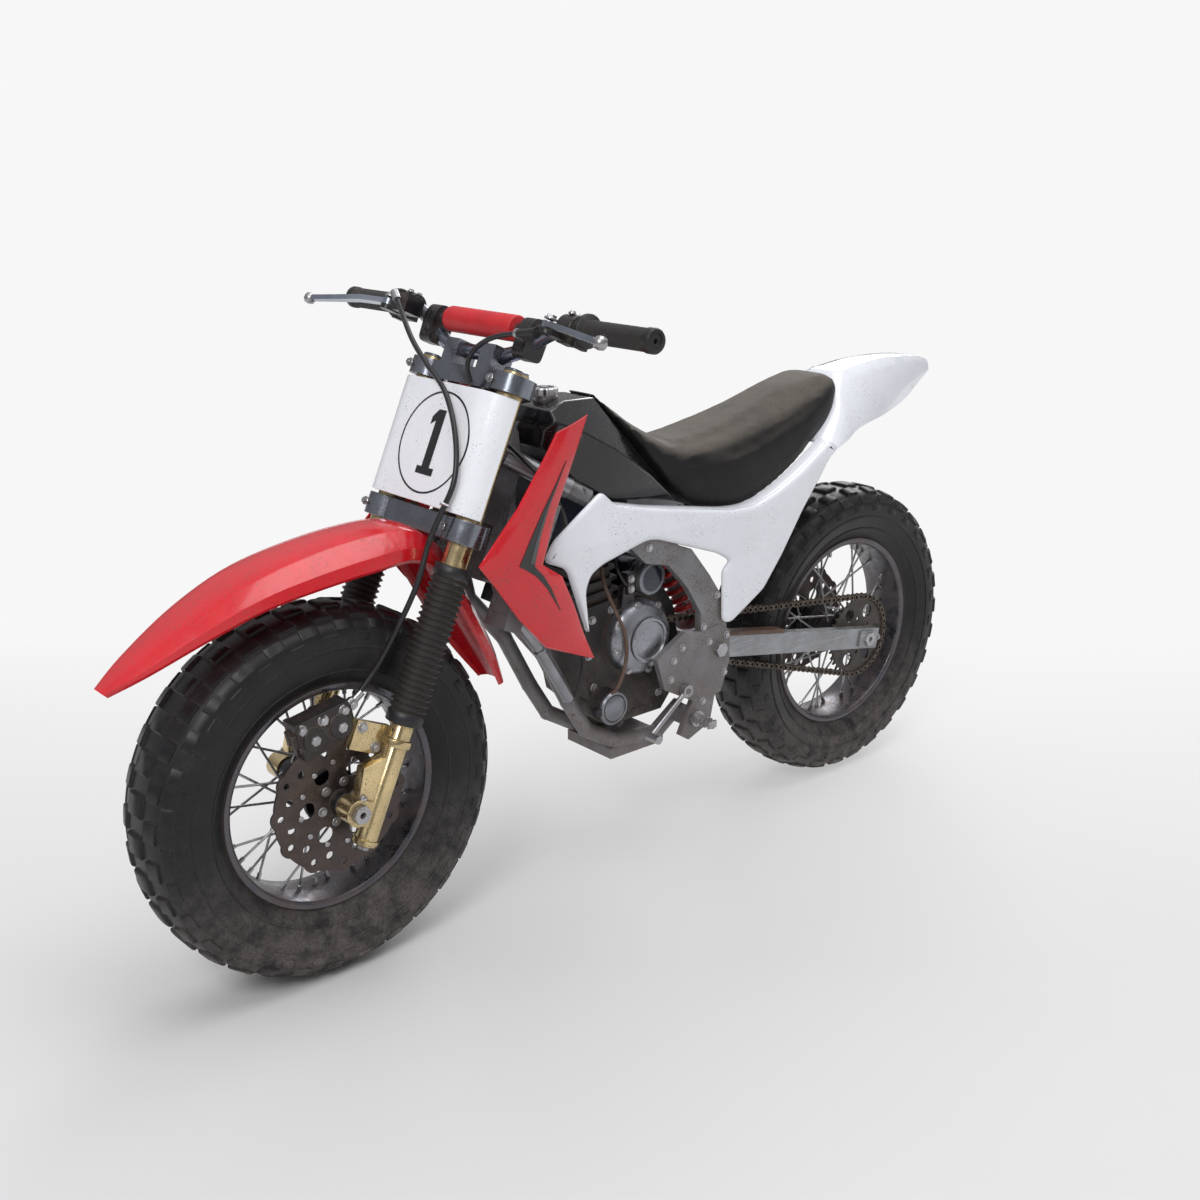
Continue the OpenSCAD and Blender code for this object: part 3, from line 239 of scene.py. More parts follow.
def tube(path, radius, sides=14, closed=False):
    """Round line along a path. radius is a number, or a function of the share of the path."""
    path = [Vector(p) for p in path]
    n = len(path)
    normal = None
    rings = []
    for i, p in enumerate(path):
        before = path[(i - 1) % n] if closed else path[max(i - 1, 0)]
        after = path[(i + 1) % n] if closed else path[min(i + 1, n - 1)]
        along = (after - before).normalized()
        if normal is None:
            normal = along.orthogonal().normalized()
        normal = (normal - along * normal.dot(along)).normalized()
        side = along.cross(normal)
        r = radius(i / (n - 1)) if callable(radius) else radius
        angles = [2 * math.pi * k / sides for k in range(sides)]
        rings.append([p + r * (math.cos(a) * normal + math.sin(a) * side) for a in angles])
    return loft(rings, loop=closed)


def hose(places, radius, sides=8):
    """Soft line that passes through a few places."""
    return tube(curve(places, 8), radius, sides)


def hex_bolt(radius=2.2, height=1.8, washer=True):
    """Bolt head that stands on Z = 0, with a flange and a shallow dish."""
    shape = loft([circle(radius, 6, 0.3), circle(radius, 6, height)])
    dish = disc(radius * 0.62, height - 0.1, height + 0.15, 20, 0.1)
    parts = [shape, dish]
    if washer:
        parts.append(disc(radius * 1.35, -0.3, 0.45, 24, 0.15))
    return merged(*parts)


def facing(point, direction):
    """Frame at a point whose Z looks along a direction."""
    return Matrix.Translation(point) @ Vector(direction).to_track_quat("Z", "Y").to_matrix().to_4x4()


def bolts(places, direction, radius=2.2, height=1.8, washer=True):
    return merged(*[moved(hex_bolt(radius, height, washer), facing(p, direction)) for p in places])


# ---------- pieces ----------

def finish_mesh(obj, smooth_angle):
    obj.data.shade_smooth()
    obj.data.set_sharp_from_angle(angle=math.radians(smooth_angle))


def bevelled(obj, width, segments=2, limit=32):
    """Rounds an object's sharp edges; width is in millimetres."""
    modifier = obj.modifiers.new("edges", "BEVEL")
    modifier.width = width * MM
    modifier.segments = segments
    modifier.limit_method = "ANGLE"
    modifier.angle_limit = math.radians(limit)
    modifier.harden_normals = True
    modifier.use_clamp_overlap = True
    return obj


def applied(obj):
    """Bakes an object's modifiers into its mesh."""
    depsgraph = bpy.context.evaluated_depsgraph_get()
    mesh = bpy.data.meshes.new_from_object(obj.evaluated_get(depsgraph))
    obj.modifiers.clear()
    obj.data = mesh
    return obj


def piece(name, shape, place, look, body, nodes=(), bevel=0.0, segments=2, smooth=40):
    """Makes a piece from a shape in a local frame; it rides on a body and may stand for CAD nodes.

    Its one material is its look's.
    """
    points, faces = shape
    mesh = bpy.data.meshes.new(name)
    mesh.from_pydata([place @ Vector(p) for p in points], [], faces)
    mesh.validate()
    mesh.materials.append(LOOKS[look])
    obj = bpy.data.objects.new(name, mesh)
    bpy.context.scene.collection.objects.link(obj)
    tidy = bmesh.new()
    tidy.from_mesh(mesh)
    bmesh.ops.remove_doubles(tidy, verts=tidy.verts, dist=1e-6)
    bmesh.ops.recalc_face_normals(tidy, faces=tidy.faces)
    tidy.to_mesh(mesh)
    tidy.free()
    finish_mesh(obj, smooth)
    if bevel:
        bevelled(obj, bevel, segments)
    if body:
        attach(obj, body)
    if nodes:
        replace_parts(obj, *nodes)
    return obj


def dressed(node, look, width):
    """Rounded copy of a CAD node that stands for it."""
    mesh = frame["nodes"][node].data.copy()
    obj = bpy.data.objects.new(node + "_skin", mesh)
    bpy.context.scene.collection.objects.link(obj)
    tidy = bmesh.new()
    tidy.from_mesh(mesh)
    bmesh.ops.remove_doubles(tidy, verts=tidy.verts, dist=2e-6)
    bmesh.ops.dissolve_limit(tidy, angle_limit=math.radians(0.6), verts=tidy.verts, edges=tidy.edges)
    tidy.to_mesh(mesh)
    tidy.free()
    mesh.materials.clear()
    mesh.materials.append(look)
    finish_mesh(obj, 35)
    if width:
        bevelled(obj, width)
    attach(obj, BODY_OF[node])
    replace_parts(obj, node)
    return obj


# ---------- materials ----------

class Look:
    """A node material on one principled shader, with its pattern in the bike's own space."""

    def __init__(self, name):
        self.material = bpy.data.materials.new(name)
        self.material.use_nodes = True
        self.tree = self.material.node_tree
        self.tree.nodes.clear()
        self.shader = self.add("ShaderNodeBsdfPrincipled")
        self.link(self.shader.outputs[0], self.add("ShaderNodeOutputMaterial").inputs[0])
        self.place = self.add("ShaderNodeTexCoord").outputs["Object"]

    def add(self, kind, **values):
        node = self.tree.nodes.new(kind)
        for key, value in values.items():
            setattr(node, key, value)
        return node

    def link(self, out, into):
        self.tree.links.new(out, into)
        return into

    def set(self, **values):
        for key, value in values.items():
            self.shader.inputs[key.replace("_", " ")].default_value = value

    def noise(self, scale, detail=4, rough=0.6, stretch=(1, 1, 1), seed=0.0):
        """Noise between 0 and 1; scale is in patches per metre."""
        place = self.add("ShaderNodeMapping")
        place.inputs["Scale"].default_value = stretch
        place.inputs["Location"].default_value = (seed, seed * 0.7, -seed)
        self.link(self.place, place.inputs["Vector"])
        node = self.add("ShaderNodeTexNoise")
        node.inputs["Scale"].default_value = scale
        node.inputs["Detail"].default_value = detail
        node.inputs["Roughness"].default_value = rough
        self.link(place.outputs[0], node.inputs["Vector"])
        return node.outputs["Fac"]

    def cells(self, scale):
        node = self.add("ShaderNodeTexVoronoi", feature="F1")
        node.inputs["Scale"].default_value = scale
        self.link(self.place, node.inputs["Vector"])
        return node.outputs["Distance"]

    def ramp(self, value, low, high, out_low=0.0, out_high=1.0):
        """Maps low to out_low and high to out_high, and holds both ends."""
        node = self.add("ShaderNodeMapRange")
        for key, number in zip(("From Min", "From Max", "To Min", "To Max"), (low, high, out_low, out_high)):
            node.inputs[key].default_value = number
        self.link(value, node.inputs["Value"])
        return node.outputs[0]

    def maths(self, operation, a, b=0.0):
        node = self.add("ShaderNodeMath", operation=operation, use_clamp=True)
        for value, into in ((a, node.inputs[0]), (b, node.inputs[1])):
            if isinstance(value, (int, float)):
                into.default_value = value
            else:
                self.link(value, into)
        return node.outputs[0]

    def mix(self, share, a, b):
        """Mixes two colours, each a triple or another node's output."""
        node = self.add("ShaderNodeMix", data_type="RGBA")
        for value, into in ((share, node.inputs[0]), (a, node.inputs[6]), (b, node.inputs[7])):
            if isinstance(value, tuple):
                into.default_value = (*value, 1)
            elif isinstance(value, (int, float)):
                into.default_value = value
            else:
                self.link(value, into)
        return node.outputs[2]

    def height(self):
        node = self.add("ShaderNodeSeparateXYZ")
        self.link(self.place, node.inputs[0])
        return node.outputs["Z"]

    def facing_up(self):
        geometry = self.add("ShaderNodeNewGeometry")
        split = self.add("ShaderNodeSeparateXYZ")
        self.link(geometry.outputs["Normal"], split.inputs[0])
        return self.ramp(split.outputs["Z"], 0.1, 0.95)

    def hollows(self, distance=0.004):
        """1 in crevices, 0 on open faces."""
        node = self.add("ShaderNodeAmbientOcclusion", samples=4)
        node.inputs["Distance"].default_value = distance
        return self.ramp(node.outputs["AO"], 0.35, 0.9, 1.0, 0.0)

    def bump(self, value, strength=0.3, depth=0.2, under=None):
        """Relief; depth in millimetres."""
        node = self.add("ShaderNodeBump")
        node.inputs["Strength"].default_value = strength
        node.inputs["Distance"].default_value = depth * MM
        self.link(value, node.inputs["Height"])
        if under is not None:
            self.link(under, node.inputs["Normal"])
        self.link(node.outputs[0], self.shader.inputs["Normal"])
        return node.outputs[0]


DUST = (0.23, 0.185, 0.15)
MUD = (0.105, 0.068, 0.048)


def surface(name, colour, rough, metal=0.0, coat=0.0, shade=0.15, dust=0.2, specks=0.0, low_dirt=0.0,
            hollow_dirt=0.3, scratch=0.0, grain=0.15, grain_scale=900, dust_colour=DUST, sheen=0.0):
    """General finish: uneven colour, dust in hollows and low down, specks, scratches and fine relief."""
    look = Look(name)
    darker = tuple(c * (1 - shade) for c in colour)
    lighter = tuple(min(1, c * (1 + shade)) for c in colour)
    tone = look.mix(look.ramp(look.noise(45, seed=3), 0.35, 0.65), darker, lighter)
    patches = look.noise(130, 8, 0.72, seed=11)
    amount = look.ramp(patches, 0.62 - 0.3 * dust, 0.8, 0.0, 0.35 + 0.5 * dust)
    if low_dirt:
        low = look.ramp(look.height(), 0.02, 0.16, low_dirt, 0.0)
        spread = look.ramp(patches, 0.3, 0.62)
        amount = look.maths("MAXIMUM", amount, look.maths("MULTIPLY", low, spread))
    if hollow_dirt:
        worn = look.maths("MULTIPLY", look.hollows(), hollow_dirt)
        amount = look.maths("MAXIMUM", amount, worn)
    tone = look.mix(amount, tone, dust_colour)
    if specks:
        fleck = look.ramp(look.noise(1500, 2, 0.5, seed=5), 0.66 - 0.16 * specks, 0.7 - 0.14 * specks)
        where = look.ramp(look.noise(60, 3, 0.6, seed=8), 0.42, 0.62)
        fleck = look.maths("MULTIPLY", fleck, where)
        tone = look.mix(fleck, tone, MUD)
        amount = look.maths("MAXIMUM", amount, fleck)
    shine = look.ramp(look.noise(220, 5, 0.6, seed=2), 0.3, 0.7, max(0.03, rough - 0.06),
                      min(1, rough + 0.09))
    if scratch:
        lines = look.noise(300, 3, 0.6, stretch=(0.12, 2.0, 5.0), seed=4)
        lines = look.ramp(lines, 0.6, 0.66, 0, scratch)
        tone = look.mix(lines, tone, tuple(min(1, c * 1.6 + 0.08) for c in colour))
        shine = look.maths("ADD", shine, look.maths("MULTIPLY", lines, 0.25))
    rougher = look.maths("ADD", shine, look.maths("MULTIPLY", amount, 0.45))
    look.link(tone, look.shader.inputs["Base Color"])
    look.link(rougher, look.shader.inputs["Roughness"])
    if metal:
        look.link(look.ramp(amount, 0.1, 0.8, metal, metal * 0.15), look.shader.inputs["Metallic"])
    look.set(Coat_Weight=coat, Coat_Roughness=0.06)
    if sheen:
        look.set(Sheen_Weight=sheen)
    if grain:
        look.bump(look.noise(grain_scale, 3, 0.6, seed=7), grain, 0.12)
    return look.material


def vinyl():
    """Seat cover: pebbled black vinyl with pale dust on what faces up."""
    look = Look("seat_vinyl")
    patches = look.noise(70, 6, 0.65, seed=6)
    fine = look.noise(2600, 2, 0.6)
    top = look.ramp(look.facing_up(), 0.15, 0.7)
    dusty = look.maths("MULTIPLY", top, look.ramp(patches, 0.2, 0.6, 0.45, 1.0))
    dusty = look.maths("MULTIPLY", dusty, look.ramp(fine, 0.3, 0.62, 0.4, 0.95))
    tone = look.mix(look.ramp(patches, 0.3, 0.7), (0.005, 0.005, 0.006), (0.012, 0.011, 0.012))
    tone = look.mix(dusty, tone, (0.135, 0.118, 0.098))
    look.link(tone, look.shader.inputs["Base Color"])
    look.link(look.ramp(dusty, 0, 1, 0.5, 0.85), look.shader.inputs["Roughness"])
    look.set(Specular_IOR_Level=0.3)
    pebble = look.cells(1500)
    under = look.bump(look.noise(160, 4, 0.6, seed=9), 0.25, 0.5)
    look.bump(pebble, 0.55, 0.18, under)
    return look.material


def rubber(name, colour, dust=0.35, low=0.75, rough=0.5):
    """Tyre rubber: dull black with dust that thickens towards the ground and in the tread."""
    look = Look(name)
    patches = look.noise(90, 8, 0.7, seed=6)
    fine = look.noise(900, 3, 0.6, seed=1)
    tone = look.mix(look.ramp(patches, 0.35, 0.65), colour, tuple(c * 1.8 for c in colour))
    near = look.ramp(look.height(), 0.0, 0.09, low, 0.0)
    amount = look.maths("MULTIPLY", near, look.ramp(patches, 0.32, 0.6))
    amount = look.maths("MAXIMUM", amount, look.maths("MULTIPLY", look.hollows(0.006), dust))
    amount = look.maths("MAXIMUM", amount, look.ramp(patches, 0.58, 0.8, 0, dust * 0.7))
    amount = look.maths("MULTIPLY", amount, look.ramp(fine, 0.25, 0.6, 0.3, 1.0))
    look.link(look.mix(amount, tone, (0.20, 0.175, 0.16)), look.shader.inputs["Base Color"])
    look.link(look.ramp(amount, 0, 1, rough - 0.1, 0.9), look.shader.inputs["Roughness"])
    look.set(Specular_IOR_Level=0.32)
    look.bump(fine, 0.3, 0.12, look.bump(patches, 0.2, 0.4))
    return look.material


LOOKS = {
    "painted_frame": surface("frame_paint", (0.20, 0.20, 0.21), 0.38, 0.45, specks=0.85, low_dirt=0.85,
                             hollow_dirt=0.7, dust=0.35, dust_colour=(0.17, 0.125, 0.10)),
    "body_white": surface("white_plastic", (0.76, 0.78, 0.83), 0.2, coat=0.9, shade=0.02, dust=0.02,
                          specks=0.08, hollow_dirt=0.2, grain=0, dust_colour=(0.5, 0.47, 0.43)),
    "body_red": surface("red_plastic", (0.58, 0.006, 0.014), 0.24, coat=0.35, shade=0.06, dust=0.02,
                        specks=0.32, hollow_dirt=0.25, grain=0, dust_colour=(0.22, 0.04, 0.035)),
    "tank_black": surface("black_gloss", (0.004, 0.004, 0.005), 0.16, coat=0.35, shade=0.1, dust=0.05,
                          specks=0.15, hollow_dirt=0.3, grain=0.02),
    "seat_vinyl": vinyl(),
    "case_metal": surface("dark_casting", (0.022, 0.022, 0.025), 0.38, 0.5, dust=0.25, specks=0.7,
                          low_dirt=0.6, hollow_dirt=0.6, grain=0.35),
    "cover_steel": surface("cover_steel", (0.30, 0.31, 0.34), 0.27, 0.95, dust=0.08, specks=0.3,
                           scratch=0.1, hollow_dirt=0.45, grain=0.02, shade=0.1),
    "radiator_metal": surface("radiator", (0.19, 0.19, 0.20), 0.45, 0.5, dust=0.3, specks=0.4,
                              hollow_dirt=0.5),
    "motor_blue": surface("motor_blue", (0.012, 0.018, 0.034), 0.16, 0.5, coat=0.6, dust=0.1, specks=0.2),
    "battery_wrap": surface("battery_wrap", (0.010, 0.020, 0.050), 0.5, dust=0.3, specks=0.6),
    "black_plastic": surface("black_plastic", (0.008, 0.008, 0.010), 0.3, dust=0.12, specks=0.3,
                             hollow_dirt=0.35),
    "white_nylon": surface("white_nylon", (0.72, 0.72, 0.70), 0.45, dust=0.1),
    "steel": surface("steel", (0.44, 0.44, 0.46), 0.3, 1.0, dust=0.2, specks=0.3, low_dirt=0.4,
                     hollow_dirt=0.5),
    "clamp_blue": surface("clamp_blue", (0.21, 0.225, 0.26), 0.22, 0.95, dust=0.1, specks=0.35, scratch=0.1,
                          hollow_dirt=0.5, grain=0.03),
    "gold": surface("gold", (0.62, 0.49, 0.27), 0.18, 0.98, dust=0.08, specks=0.3, hollow_dirt=0.55,
                    scratch=0.08, grain=0.02, dust_colour=(0.12, 0.08, 0.04)),
    "boot_rubber": surface("boot_rubber", (0.010, 0.010, 0.012), 0.42, dust=0.2, hollow_dirt=0.3,
                           grain=0.1),
    "bar_steel": surface("blued_steel", (0.17, 0.19, 0.24), 0.2, 0.95, dust=0.08, specks=0.45, scratch=0.15,
                         hollow_dirt=0.4, grain=0.05),
    "pad_foam": surface("pad_cover", (0.50, 0.010, 0.016), 0.5, dust=0.1, specks=0.3, hollow_dirt=0.3,
                        grain=0.3, grain_scale=1600),
    "grip_rubber": surface("grip_rubber", (0.007, 0.007, 0.008), 0.45, dust=0.2, hollow_dirt=0.2,
                           grain=0.25),
    "cable_black": surface("cable", (0.012, 0.012, 0.014), 0.35, dust=0.15, hollow_dirt=0.1),
    "lever_blue": surface("lever_blue", (0.30, 0.33, 0.39), 0.2, 0.95, dust=0.08, scratch=0.3,
                          hollow_dirt=0.4),
    "tyre_rubber": rubber("tyre_rubber", (0.0065, 0.0065, 0.0075)),
    "rim_metal": surface("rim_metal", (0.10, 0.11, 0.13), 0.2, 0.95, dust=0.9, specks=0.8, low_dirt=0.3,
                         hollow_dirt=0.6, grain=0.05, dust_colour=(0.15, 0.10, 0.082)),
    "spoke_steel": surface("spoke_steel", (0.42, 0.42, 0.43), 0.32, 1.0, dust=0.15, specks=0.2,
                           hollow_dirt=0.2),
    "hub_metal": surface("hub_metal", (0.04, 0.04, 0.045), 0.32, 0.8, dust=0.3, specks=0.4,
                         hollow_dirt=0.6),
    "disc_steel": surface("disc_steel", (0.085, 0.072, 0.068), 0.34, 0.9, dust=0.7, specks=0.7,
                          hollow_dirt=0.3, scratch=0.1, dust_colour=(0.12, 0.08, 0.065)),
    "swingarm_metal": surface("swingarm_metal", (0.30, 0.31, 0.33), 0.34, 0.8, dust=0.15, specks=0.5,
                              scratch=0.5, low_dirt=0.3, hollow_dirt=0.6),
    "chain_steel": surface("chain_steel", (0.10, 0.085, 0.07), 0.4, 0.8, dust=0.5, specks=0.5,
                           hollow_dirt=0.8, dust_colour=(0.13, 0.09, 0.06)),
    "sprocket_steel": surface("sprocket_steel", (0.06, 0.055, 0.052), 0.38, 0.8, dust=0.4, specks=0.5,
                              hollow_dirt=0.6),
    "pinion_brass": surface("pinion_brass", (0.62, 0.42, 0.16), 0.3, 0.95),
    "shock_metal": surface("shock_metal", (0.30, 0.30, 0.32), 0.32, 0.9),
    "spring_red": surface("spring_red", (0.55, 0.012, 0.012), 0.25, coat=0.5, dust=0.1, specks=0.15,
                          hollow_dirt=0.4),
    "plate_white": surface("plate_white", (0.82, 0.84, 0.88), 0.16, coat=0.8, shade=0.02, dust=0.02,
                           specks=0.12, hollow_dirt=0.2, grain=0.02, dust_colour=(0.5, 0.47, 0.43)),
    "ink": surface("ink", (0.004, 0.005, 0.006), 0.3, coat=0.3, dust=0.02, hollow_dirt=0, grain=0),
    # Lighter grey for the painted highlight on the shroud stripes: it stands in for the light that the
    # glossy black stripe catches
    "painted_highlight_grey": surface("painted_highlight_grey", (0.05, 0.06, 0.06), 0.3, coat=0.4, dust=0.05, hollow_dirt=0,
                           grain=0),
    "brown_hose": surface("brown_hose", (0.09, 0.05, 0.035), 0.5, dust=0.5, specks=0.6, hollow_dirt=0.2),
    "rusty": surface("rusty_bolts", (0.12, 0.075, 0.05), 0.55, 0.5, dust=0.5, specks=0.5, hollow_dirt=0.5,
                     dust_colour=(0.16, 0.09, 0.055)),
    "cap_grey": surface("cap_grey", (0.22, 0.23, 0.255), 0.3, 0.85, dust=0.2, specks=0.35, scratch=0.3,
                        hollow_dirt=0.5),
}


# ---------- outlines and surfaces shared by the pieces ----------

def rounded(outline, radius, steps=4, closed=True):
    """Replaces each corner of an outline or path by a curve that starts a radius before it."""
    points = [Vector(p) for p in outline]
    n = len(points)
    out = []
    for i, p in enumerate(points):
        if not closed and i in (0, n - 1):
            out.append(p)
            continue
        before, after = points[i - 1] - p, points[(i + 1) % n] - p
        a = p + before.normalized() * min(radius, before.length * 0.48)
        b = p + after.normalized() * min(radius, after.length * 0.48)
        for k in range(steps + 1):
            t = k / steps
            out.append((1 - t) ** 2 * a + 2 * t * (1 - t) * p + t * t * b)
    return out


def room_inwards(points, i, normal):
    """Distance from a point of an outline to its far side along a direction."""
    p, best = points[i], 1e9
    n = len(points)
    for k in range(n):
        if k in (i, (i - 1) % n):
            continue
        a, edge = points[k], points[(k + 1) % n] - points[k]
        across = normal.x * edge.y - normal.y * edge.x
        if abs(across) < 1e-9:
            continue
        t = ((a.x - p.x) * edge.y - (a.y - p.y) * edge.x) / across
        share = ((a.x - p.x) * normal.y - (a.y - p.y) * normal.x) / across
        if t > 1e-6 and -1e-6 <= share <= 1 + 1e-6:
            best = min(best, t)
    return best


def inset(outline, distance):
    """Moves each point of a flat outline inwards by a distance, or less where it is narrow."""
    points = [Vector(p) for p in outline]
    n = len(points)
    area = sum(points[i].x * points[(i + 1) % n].y - points[(i + 1) % n].x * points[i].y for i in range(n))
    sign = 1 if area > 0 else -1
    out = []
    for i, p in enumerate(points):
        before, after = (p - points[i - 1]).normalized(), (points[(i + 1) % n] - p).normalized()
        normal = Vector((-before.y - after.y, before.x + after.x)).normalized() * sign
        reach = min(distance, 0.22 * room_inwards(points, i, normal))
        out.append(p + normal * reach)
    return out


def capped(rings):
    """Loft whose two ends are cut into triangles, so that they may be hollow outlines."""
    points, faces = loft(rings, cap=False)
    n = len(rings[0])
    for start in (0, len(points) - n):
        cut = tessellate_polygon([[Vector(p) for p in points[start:start + n]]])
        faces += [[start + i for i in triangle] for triangle in cut]
    return points, faces


def crowned_plate(outline, y_in, y_out, crown, fall):
    """Plate in X, Z of the bike whose outer edge rolls back by fall over a band as wide as crown."""
    steps = 5
    rings = [[(p.x, y_in, p.y) for p in inset(outline, 0.3)], [(p.x, y_in + 0.3, p.y) for p in outline]]
    for k in range(steps + 1):
        a = math.pi / 2 * k / steps
        band = inset(outline, crown * (1 - math.cos(a)))
        rings.append([(p.x, y_out - fall * (1 - math.sin(a)), p.y) for p in band])
    return capped(rings)


def along(stations, steps):
    """Fills in smooth rows of numbers between the given ones."""
    n = len(stations)
    out = []
    for i in range(n - 1):
        a, b, c, d = stations[max(i - 1, 0)], stations[i], stations[i + 1], stations[min(i + 2, n - 1)]
        for k in range(steps):
            t = k / steps
            out.append([0.5 * (2 * q + (r - p) * t + (2 * p - 5 * q + 4 * r - s) * t * t
                               + (3 * q - p - 3 * r + s) * t ** 3) for p, q, r, s in zip(a, b, c, d)])
    out.append(list(stations[-1]))
    return out


# ---------- wheels ----------

TYRE_R = 90
KNOB_H = 1.7
# rows of blocks beside the middle one: start and end along the section, offset and half width round the
# tyre (in pitches and in degrees), and height as a share of the middle row's
TREAD_ROWS = ((0.375, 0.44, 0.5, 3.2, 0.85), (0.305, 0.36, 0.05, 3.3, 0.65), (0.25, 0.29, 0.5, 2.6, 0.35))
FRONT_BEAD = 54.5
REAR_BEAD = 58
SPOKES = 32
SPOKE_SWEEP = 44
FLANGE_R = 12
FLANGE_Z = 11.2


def tyre_section(bead):
    """Outer section over the crown from bead to bead, as (radius, distance from the middle)."""
    base = TYRE_R - KNOB_H
    half = [(bead + 0.5, 13), (bead + 3, 15.4), (bead + 8, 18.4), (bead + 14, 20.1), (base - 12, 20.5),
            (base - 6.5, 19.4), (base - 2.6, 15), (base - 0.6, 8), (base, 0)]
    path = half + [(r, -z) for r, z in reversed(half[:-1])]
    return [(p.x, p.y) for p in curve([(r, z, 0) for r, z in path], 6)]


def tread_block(section, s0, s1, a0, a1, height):
    """Raised block on the carcass between two shares of its section and two angles."""
    def at(s, a, out):
        place = s * (len(section) - 1)
        i = min(int(place), len(section) - 2)
        t = place - i
        dr, dz = section[i + 1][0] - section[i][0], section[i + 1][1] - section[i][1]
        size = math.hypot(dr, dz)
        r = section[i][0] + dr * t - dz / size * out
        z = section[i][1] + dz * t + dr / size * out
        return r * math.cos(math.radians(a)), r * math.sin(math.radians(a)), z
    loop = [(0, 0), (0.33, 0), (0.67, 0), (1, 0), (1, 0.5), (1, 1), (0.67, 1), (0.33, 1), (0, 1), (0, 0.5)]
    rings = []
    for shrink, out in ((1.0, -1.0), (0.93, height * 0.72), (0.80, height)):
        rings.append([at(s0 + (s1 - s0) * (0.5 + (u - 0.5) * shrink),
                         a0 + (a1 - a0) * (0.5 + (v - 0.5) * shrink), out) for u, v in loop])
    return loft(rings)


def tyre(bead):
    section = tyre_section(bead)
    inner = [(bead + 1.5, -9), (bead + 1.5, 9)]
    parts = [lathe(section + inner, 120)]
    count = 30
    pitch = 360 / count
    for i in range(count):
        a = i * pitch
        parts.append(tread_block(section, 0.455, 0.545, a - 3.4, a + 3.4, KNOB_H))
        for side in (0, 1):
            for s0, s1, shift_a, half, rise in TREAD_ROWS:
                lo, hi = (s0, s1) if side == 0 else (1 - s1, 1 - s0)
                middle_a = a + shift_a * pitch
                parts.append(tread_block(section, lo, hi, middle_a - half, middle_a + half, KNOB_H * rise))
    for s in (-1, 1):
        for radius, z in ((bead + 7.2, 18.35), (TYRE_R - KNOB_H - 15.5, 20.6)):
            parts.append(ring_bead(radius, s * z, 0.38))
    return merged(*parts)


def ring_bead(radius, z, wire, steps=120):
    return tube(circle(radius, steps, z), wire, 6, closed=True)


def rim(bead):
    profile = [(bead - 3.6, -12.6), (bead - 3.0, -13.6), (bead - 1.6, -14.2), (bead - 0.1, -14.0),
               (bead + 0.5, -13.0), (bead + 0.2, -11.5), (bead - 1.2, -9), (bead - 1.2, 9),
               (bead + 0.2, 11.5), (bead + 0.5, 13.0), (bead - 0.1, 14.0), (bead - 1.6, 14.2),
               (bead - 3.0, 13.6), (bead - 3.6, 12.6), (bead - 4.0, 9), (bead - 5.0, 6.2),
               (bead - 5.0, -6.2), (bead - 4.0, -9)]
    return lathe(profile, 120)


def nipples(bead):
    """Small hex collars where the spokes meet the rim."""
    parts = []
    pairs = SPOKES // 4
    for i in range(pairs):
        for side in (-1, 1):
            for lean in (-1, 1):
                hub_a = math.radians((i + (side + 1) / 4) * 360 / pairs + lean * 6)
                rim_a = hub_a + math.radians(lean * SPOKE_SWEEP)
                hub = Vector((FLANGE_R * math.cos(hub_a), FLANGE_R * math.sin(hub_a),
                              side * (FLANGE_Z + lean * 0.7)))
                end = Vector(((bead - 4) * math.cos(rim_a), (bead - 4) * math.sin(rim_a), side * (2 + lean)))
                inwards = (hub - end).normalized()
                parts.append(moved(disc(1.15, -1.2, 4.2, 6, 0.2), facing(end, inwards)))
    return merged(*parts)


def hub_rings():
    """Flange rims and a ribbed barrel on the hub."""
    parts = []
    for z in (-FLANGE_Z, FLANGE_Z):
        parts.append(lathe([(10.4, z - 1.9), (13.5, z - 1.6), (13.9, z), (13.5, z + 1.6),
                            (10.4, z + 1.9)], 48))
    for z in (-4, 0, 4):
        parts.append(lathe([(7.0, z - 0.8), (8.1, z - 0.5), (8.1, z + 0.5), (7.0, z + 0.8)], 40))
    return merged(*parts)


def disc_details(z, outer):
    """Bolts of the carrier and the floating rivets of a brake disc whose outer face is at z."""
    def ring_of(shape, count, radius, start):
        spots = [math.radians(360 / count * i + start) for i in range(count)]
        outwards = (0, 0, 1 if z > 0 else -1)
        return [moved(shape, facing((radius * math.cos(a), radius * math.sin(a), z), outwards))
                for a in spots]
    rivet = disc(1.3, -0.4, 0.7, 14, 0.2)
    return merged(*ring_of(hex_bolt(1.7, 1.3), 6, 9.6, 15), *ring_of(rivet, 12, outer - 14.5, 7))


def build_wheels():
    wheels = (("front", FRONT, FRONT_BEAD, 19.9, 35), ("rear", REAR, REAR_BEAD, -20, 34))
    for end, place, bead, disc_z, disc_r in wheels:
        body = end + "_wheel"
        piece(end + "_tyre_skin", tyre(bead), place, "tyre_rubber", body, [end + "_tyre"], smooth=38)
        piece(end + "_rim_skin", rim(bead), place, "rim_metal", body, [end + "_rim"], smooth=38)
        piece(end + "_spoke_nipples", nipples(bead), place, "spoke_steel", body, smooth=30)
        piece(end + "_hub_rings", hub_rings(), place, "hub_metal", body, smooth=35)
        piece(end + "_disc_bolts", disc_details(disc_z, disc_r), place, "steel", body, smooth=30)
        valve = merged(disc(1.5, 0, 6, 16, 0.3), disc(1.0, 0, 9.5, 14, 0.3))
        piece(end + "_valve", moved(valve, facing((0, -bead + 4.5, 0), (0, 1, 0))), place, "steel", body,
              smooth=35)


# ---------- body ----------

